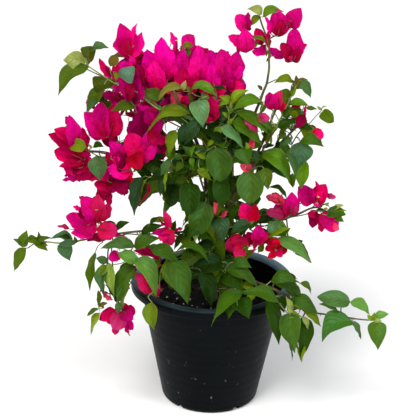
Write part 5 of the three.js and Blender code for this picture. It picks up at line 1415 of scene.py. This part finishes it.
def pot_material():
    m, nt, bsdf, out = material("black_pot_plastic")
    geo = node(nt, "ShaderNodeTexCoord").outputs["Object"]
    sep = node(nt, "ShaderNodeSeparateXYZ", {0: geo})
    cloud = node(nt, "ShaderNodeTexNoise", {"Vector": geo, "Scale": 26.0, "Detail": 5.0, "Roughness": 0.6}).outputs[0]
    fine = node(nt, "ShaderNodeTexNoise", {"Vector": geo, "Scale": 620.0, "Detail": 3.0}).outputs[0]
    stretched = node(nt, "ShaderNodeMapping", {"Vector": geo, "Scale": (5.0, 5.0, 330.0)}).outputs[0]
    turned = node(nt, "ShaderNodeTexNoise", {"Vector": stretched, "Scale": 1.0, "Detail": 3.0}).outputs[0]
    specks = node(nt, "ShaderNodeTexNoise", {"Vector": geo, "Scale": 150.0, "Detail": 2.0, "Roughness": 0.4}).outputs[0]
    low = node(nt, "ShaderNodeMapRange", {0: sep.outputs[2], 1: 0.10, 2: 0.015}).outputs[0]
    spot = node(nt, "ShaderNodeMapRange", {0: specks, 1: 0.71, 2: 0.76}).outputs[0]
    spot = math_node(nt, "MULTIPLY", spot, math_node(nt, "MULTIPLY_ADD", low, 0.5, 0.06))
    base = mixed(nt, node(nt, "ShaderNodeMapRange", {0: cloud, 1: 0.35, 2: 0.7}).outputs[0], srgb(2, 5, 7), srgb(6, 10, 12))
    base = mixed(nt, spot, base, srgb(140, 140, 134))
    # The top of the lip is painted blue-grey, more towards the back: a painted reflection of the sky.
    top = node(nt, "ShaderNodeMapRange", {0: sep.outputs[2], 1: 0.1915, 2: 0.1936}).outputs[0]
    far = node(nt, "ShaderNodeMapRange", {0: sep.outputs[1], 1: -0.07, 2: 0.03, 3: 0.12, 4: 1.0}).outputs[0]
    base = mixed(nt, math_node(nt, "MULTIPLY", math_node(nt, "MULTIPLY", top, far), 0.9), base, srgb(112, 140, 154))
    nt.links.new(base, bsdf.inputs["Base Color"])
    rough = node(nt, "ShaderNodeMapRange", {0: cloud, 1: 0.3, 2: 0.75, 3: 0.36, 4: 0.52}).outputs[0]
    rough = math_node(nt, "ADD", rough, math_node(nt, "MULTIPLY", spot, 0.4), clamp=True)
    nt.links.new(rough, bsdf.inputs["Roughness"])
    bsdf.inputs["Specular IOR Level"].default_value = 0.05
    height = math_node(nt, "ADD", math_node(nt, "MULTIPLY", turned, 1.0), math_node(nt, "MULTIPLY", fine, 0.35))
    bump = node(nt, "ShaderNodeBump", {"Height": height, "Strength": 0.35, "Distance": 0.0005}).outputs[0]
    nt.links.new(bump, bsdf.inputs["Normal"])
    return m


pot = pot_object()


def cut_slots(obj):
    """Five drain slots in the foot."""
    store = Store()
    for k in range(5):
        a = math.radians(-56 + 72 * k)
        radial, side = np.array((math.cos(a), math.sin(a), 0)), np.array((-math.sin(a), math.cos(a), 0))
        c = radial * 0.0715
        v = []
        for dr, ds, z in ((-1, -1, 0), (1, -1, 0), (1, 1, 0), (-1, 1, 0), (-1, -1, 1), (1, -1, 1), (1, 1, 1), (-1, 1, 1)):
            v.append(c + radial * 0.0085 * dr + side * 0.0055 * ds * (1 if z == 0 else 0.86) + UP * (-0.002 if z == 0 else 0.0072))
        store.add(np.array(v), [(3, 2, 1, 0), (4, 5, 6, 7), (0, 1, 5, 4), (1, 2, 6, 5), (2, 3, 7, 6), (3, 0, 4, 7)], 0)
    cutter = store.build("cutter", [pot.data.materials[0]], False)
    mod = obj.modifiers.new("slots", "BOOLEAN")
    mod.operation, mod.solver, mod.object = "DIFFERENCE", "EXACT", cutter
    bpy.context.view_layer.objects.active = obj
    bpy.context.view_layer.update()
    done = bpy.data.meshes.new_from_object(obj.evaluated_get(bpy.context.evaluated_depsgraph_get()))
    obj.modifiers.clear()
    obj.data = done
    bpy.data.objects.remove(cutter)


cut_slots(pot)

# ------------------------------------------------------------------ potting mix
ICO_V, ICO_F = [], []


def make_ico():
    t = (1 + 5 ** 0.5) / 2
    v = [(-1, t, 0), (1, t, 0), (-1, -t, 0), (1, -t, 0), (0, -1, t), (0, 1, t), (0, -1, -t), (0, 1, -t), (t, 0, -1), (t, 0, 1), (-t, 0, -1), (-t, 0, 1)]
    f = [(0, 11, 5), (0, 5, 1), (0, 1, 7), (0, 7, 10), (0, 10, 11), (1, 5, 9), (5, 11, 4), (11, 10, 2), (10, 7, 6), (7, 1, 8),
         (3, 9, 4), (3, 4, 2), (3, 2, 6), (3, 6, 8), (3, 8, 9), (4, 9, 5), (2, 4, 11), (6, 2, 10), (8, 6, 7), (9, 8, 1)]
    v = [list(unit(np.array(p, float))) for p in v]
    cache, out = {}, []

    def mid(a, b):
        key = (min(a, b), max(a, b))
        if key not in cache:
            cache[key] = len(v)
            v.append(list(unit((np.array(v[a]) + np.array(v[b])) / 2)))
        return cache[key]
    for a, b, c in f:
        ab, bc, ca = mid(a, b), mid(b, c), mid(c, a)
        out += [(a, ab, ca), (b, bc, ab), (c, ca, bc), (ab, bc, ca)]
    return np.array(v), np.array(out)


ICO_V, ICO_F = make_ico()


def soil_height(x, y):
    r = np.hypot(x, y)
    h = 0.157 - 0.0026 * (r / 0.105) ** 2 + 0.0012 * np.sin(x * 95 + 1.3) * np.cos(y * 80 + 0.4) + 0.0009 * np.sin(x * 210 + y * 160) + 0.0006 * np.sin(y * 390 - x * 270 + 2)
    return h + 0.0035 * np.exp(-(r / 0.020) ** 2)


def soil_objects():
    g = np.random.default_rng(SEED + 555)
    store = Store()
    rings, seg = 60, 128
    rr = 0.1026 * np.linspace(0, 1, rings + 1)[1:] ** 0.9
    ang = np.arange(seg) * 2 * math.pi / seg
    x, y = rr[:, None] * np.cos(ang), rr[:, None] * np.sin(ang)
    z = soil_height(x, y) + g.normal(0, 0.00035, x.shape)
    top = np.stack((x, y, z), -1).reshape(-1, 3)
    low_r = [0.1008, 0.0722]
    low_z = [0.149, 0.0066]
    v = [top]
    for r_, z_ in zip(low_r, low_z):
        v.append(np.stack((r_ * np.cos(ang), r_ * np.sin(ang), np.full(seg, z_)), -1))
    v = np.vstack(v + [np.array([[0, 0, soil_height(0.0, 0.0)]]), np.array([[0, 0, 0.0066]])])
    rows = rings + 2
    i, k = np.meshgrid(np.arange(rows - 1), np.arange(seg), indexing="ij")
    k2 = (k + 1) % seg
    quads = np.stack((i * seg + k, (i + 1) * seg + k, (i + 1) * seg + k2, i * seg + k2), -1).reshape(-1, 4)
    kk = np.arange(seg)
    c0, c1 = rows * seg, rows * seg + 1
    tris = np.vstack((np.stack((np.full(seg, c0), kk, (kk + 1) % seg), 1), np.stack((np.full(seg, c1), (rows - 1) * seg + (kk + 1) % seg, (rows - 1) * seg + kk), 1)))
    store.add(v, quads, 0, None, tris)
    for count, slot, lo, hi, flat in ((680, 1, 1.2, 3.6, 0.6), (60, 3, 2.5, 6.0, 0.35), (110, 2, 0.9, 2.3, 0.85)):
        for _ in range(count):
            r, a = 0.100 * math.sqrt(g.uniform(0.03, 1)), g.uniform(0, 2 * math.pi)
            x, y = r * math.cos(a), r * math.sin(a)
            size = g.uniform(lo, hi) * MM
            scale = size * np.array((g.uniform(0.7, 1.3), g.uniform(0.6, 1.0), flat * g.uniform(0.7, 1.1)))
            q = ICO_V * (1 + g.normal(0, 0.13, (len(ICO_V), 1))) * scale
            w, tilt = g.uniform(0, 6.3), g.normal(0, 0.35)
            q = np.stack((q[:, 0] * math.cos(w) - q[:, 1] * math.sin(w), q[:, 0] * math.sin(w) + q[:, 1] * math.cos(w), q[:, 2] + q[:, 0] * tilt), 1)
            lift = scale[2] * 0.35
            store.add(q + np.array((x, y, float(soil_height(x, y)) + lift)), None, slot, None, ICO_F)
    # The potting mix, bark crumbs and wood chips are coloured very dark: partly their own colour, partly painted shade
    # from the crown above.
    obj = store.build("potting_mix", [soil_material("potting_mix_base", srgb(8, 8, 7), srgb(22, 20, 17), 0.95), soil_material("bark_crumbs", srgb(9, 8, 7), srgb(26, 23, 20), 0.9),
                                      soil_material("perlite", srgb(176, 176, 168), srgb(232, 232, 226), 0.75), soil_material("wood_chips", srgb(26, 21, 16), srgb(56, 46, 36), 0.85)], False)
    return obj


def soil_material(name, dark, light, rough):
    m, nt, bsdf, out = material(name)
    geo = node(nt, "ShaderNodeTexCoord").outputs["Object"]
    big = node(nt, "ShaderNodeTexNoise", {"Vector": geo, "Scale": 240.0, "Detail": 6.0, "Roughness": 0.7}).outputs[0]
    small = node(nt, "ShaderNodeTexNoise", {"Vector": geo, "Scale": 900.0, "Detail": 4.0, "Roughness": 0.7}).outputs[0]
    base = mixed(nt, node(nt, "ShaderNodeMapRange", {0: big, 1: 0.35, 2: 0.65}).outputs[0], dark, light)
    nt.links.new(base, bsdf.inputs["Base Color"])
    bsdf.inputs["Roughness"].default_value = rough
    bsdf.inputs["Specular IOR Level"].default_value = 0.25
    bump = node(nt, "ShaderNodeBump", {"Height": small, "Strength": 0.8, "Distance": 0.0009}).outputs[0]
    nt.links.new(bump, bsdf.inputs["Normal"])
    return m


soil = soil_objects()

# ------------------------------------------------------------------ pieces
pieces = []


def finish_piece(obj, nodes):
    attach(obj, "root")
    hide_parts(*nodes)
    pieces.append(obj)


finish_piece(pot, ["pot"])
finish_piece(soil, ["soil"])
finish_piece(LIMB_STORE.build("trunk_and_boughs", WOOD_MATS), [l[0] for l in LIMBS])
for key, store in TWIG_STORES.items():
    finish_piece(store.build("twigs_" + key, WOOD_MATS), [])
for key in REGIONS:
    mine = [m[0] for m in MASSES if region(np.array(m[1], float) * MM) == key]
    if LEAF_STORES[key].n:
        finish_piece(LEAF_STORES[key].build("leaves_" + key, LEAF_MATS), [m for m in mine if m.startswith("foliage")])
    if BRACT_STORES[key].n:
        finish_piece(BRACT_STORES[key].build("bracts_" + key, BRACT_MATS), [m for m in mine if m.startswith("bloom")])

# ------------------------------------------------------------------ floor and light
def floor_object():
    store = Store()
    n, size = 24, 9.0
    x = np.linspace(-size, size, n + 1)
    v = np.stack(np.meshgrid(x, x, indexing="ij") + [np.full((n + 1, n + 1), -0.0006)], -1).reshape(-1, 3)
    i, k = np.meshgrid(np.arange(n), np.arange(n), indexing="ij")
    quads = np.stack((i * (n + 1) + k, (i + 1) * (n + 1) + k, (i + 1) * (n + 1) + k + 1, i * (n + 1) + k + 1), -1).reshape(-1, 4)
    store.add(v, quads, 0)
    m, nt, bsdf, out = material("pale_floor")
    geo = node(nt, "ShaderNodeTexCoord").outputs["Object"]
    noise = node(nt, "ShaderNodeTexNoise", {"Vector": geo, "Scale": 3.0, "Detail": 3.0}).outputs[0]
    nt.links.new(mixed(nt, noise, srgb(240, 240, 240), srgb(246, 246, 246)), bsdf.inputs["Base Color"])
    bsdf.inputs["Roughness"].default_value = 0.9
    bsdf.inputs["Specular IOR Level"].default_value = 0.1
    return store.build("floor", [m])


floor_object()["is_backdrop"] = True


def light(name, kind, place, target, size, power, colour):
    data = bpy.data.lights.new(name, kind)
    data.energy, data.color = power, colour
    if kind == "SUN":
        data.angle = size
    else:
        data.shape, data.size = "DISK", size
    obj = bpy.data.objects.new(name, data)
    obj.location = place
    obj.rotation_euler = (Vector(target) - Vector(place)).to_track_quat("-Z", "Y").to_euler()
    scene.collection.objects.link(obj)


light("sky_light", "SUN", (-1.1, -1.9, 3.0), (0, 0, 0.35), math.radians(26), 2.5, (1.0, 0.985, 0.955))
light("front_light", "AREA", (-0.3, -2.3, 1.5), (0, 0, 0.38), 1.8, 17, (1.0, 0.99, 0.97))
light("side_light", "AREA", (1.9, -1.2, 1.3), (0, 0, 0.25), 1.4, 27, (0.96, 0.98, 1.0))
world = bpy.data.worlds.new("world")
scene.world = world
world.use_nodes = True
background = world.node_tree.nodes["Background"]
background.inputs[0].default_value = (0.97, 0.985, 1.0, 1.0)
background.inputs[1].default_value = 0.54

# ------------------------------------------------------------------ size
bpy.context.view_layer.update()
print("triangles", sum(sum(len(p.vertices) - 2 for p in o.data.polygons) for o in pieces), {o.name: sum(len(p.vertices) - 2 for p in o.data.polygons) for o in pieces})
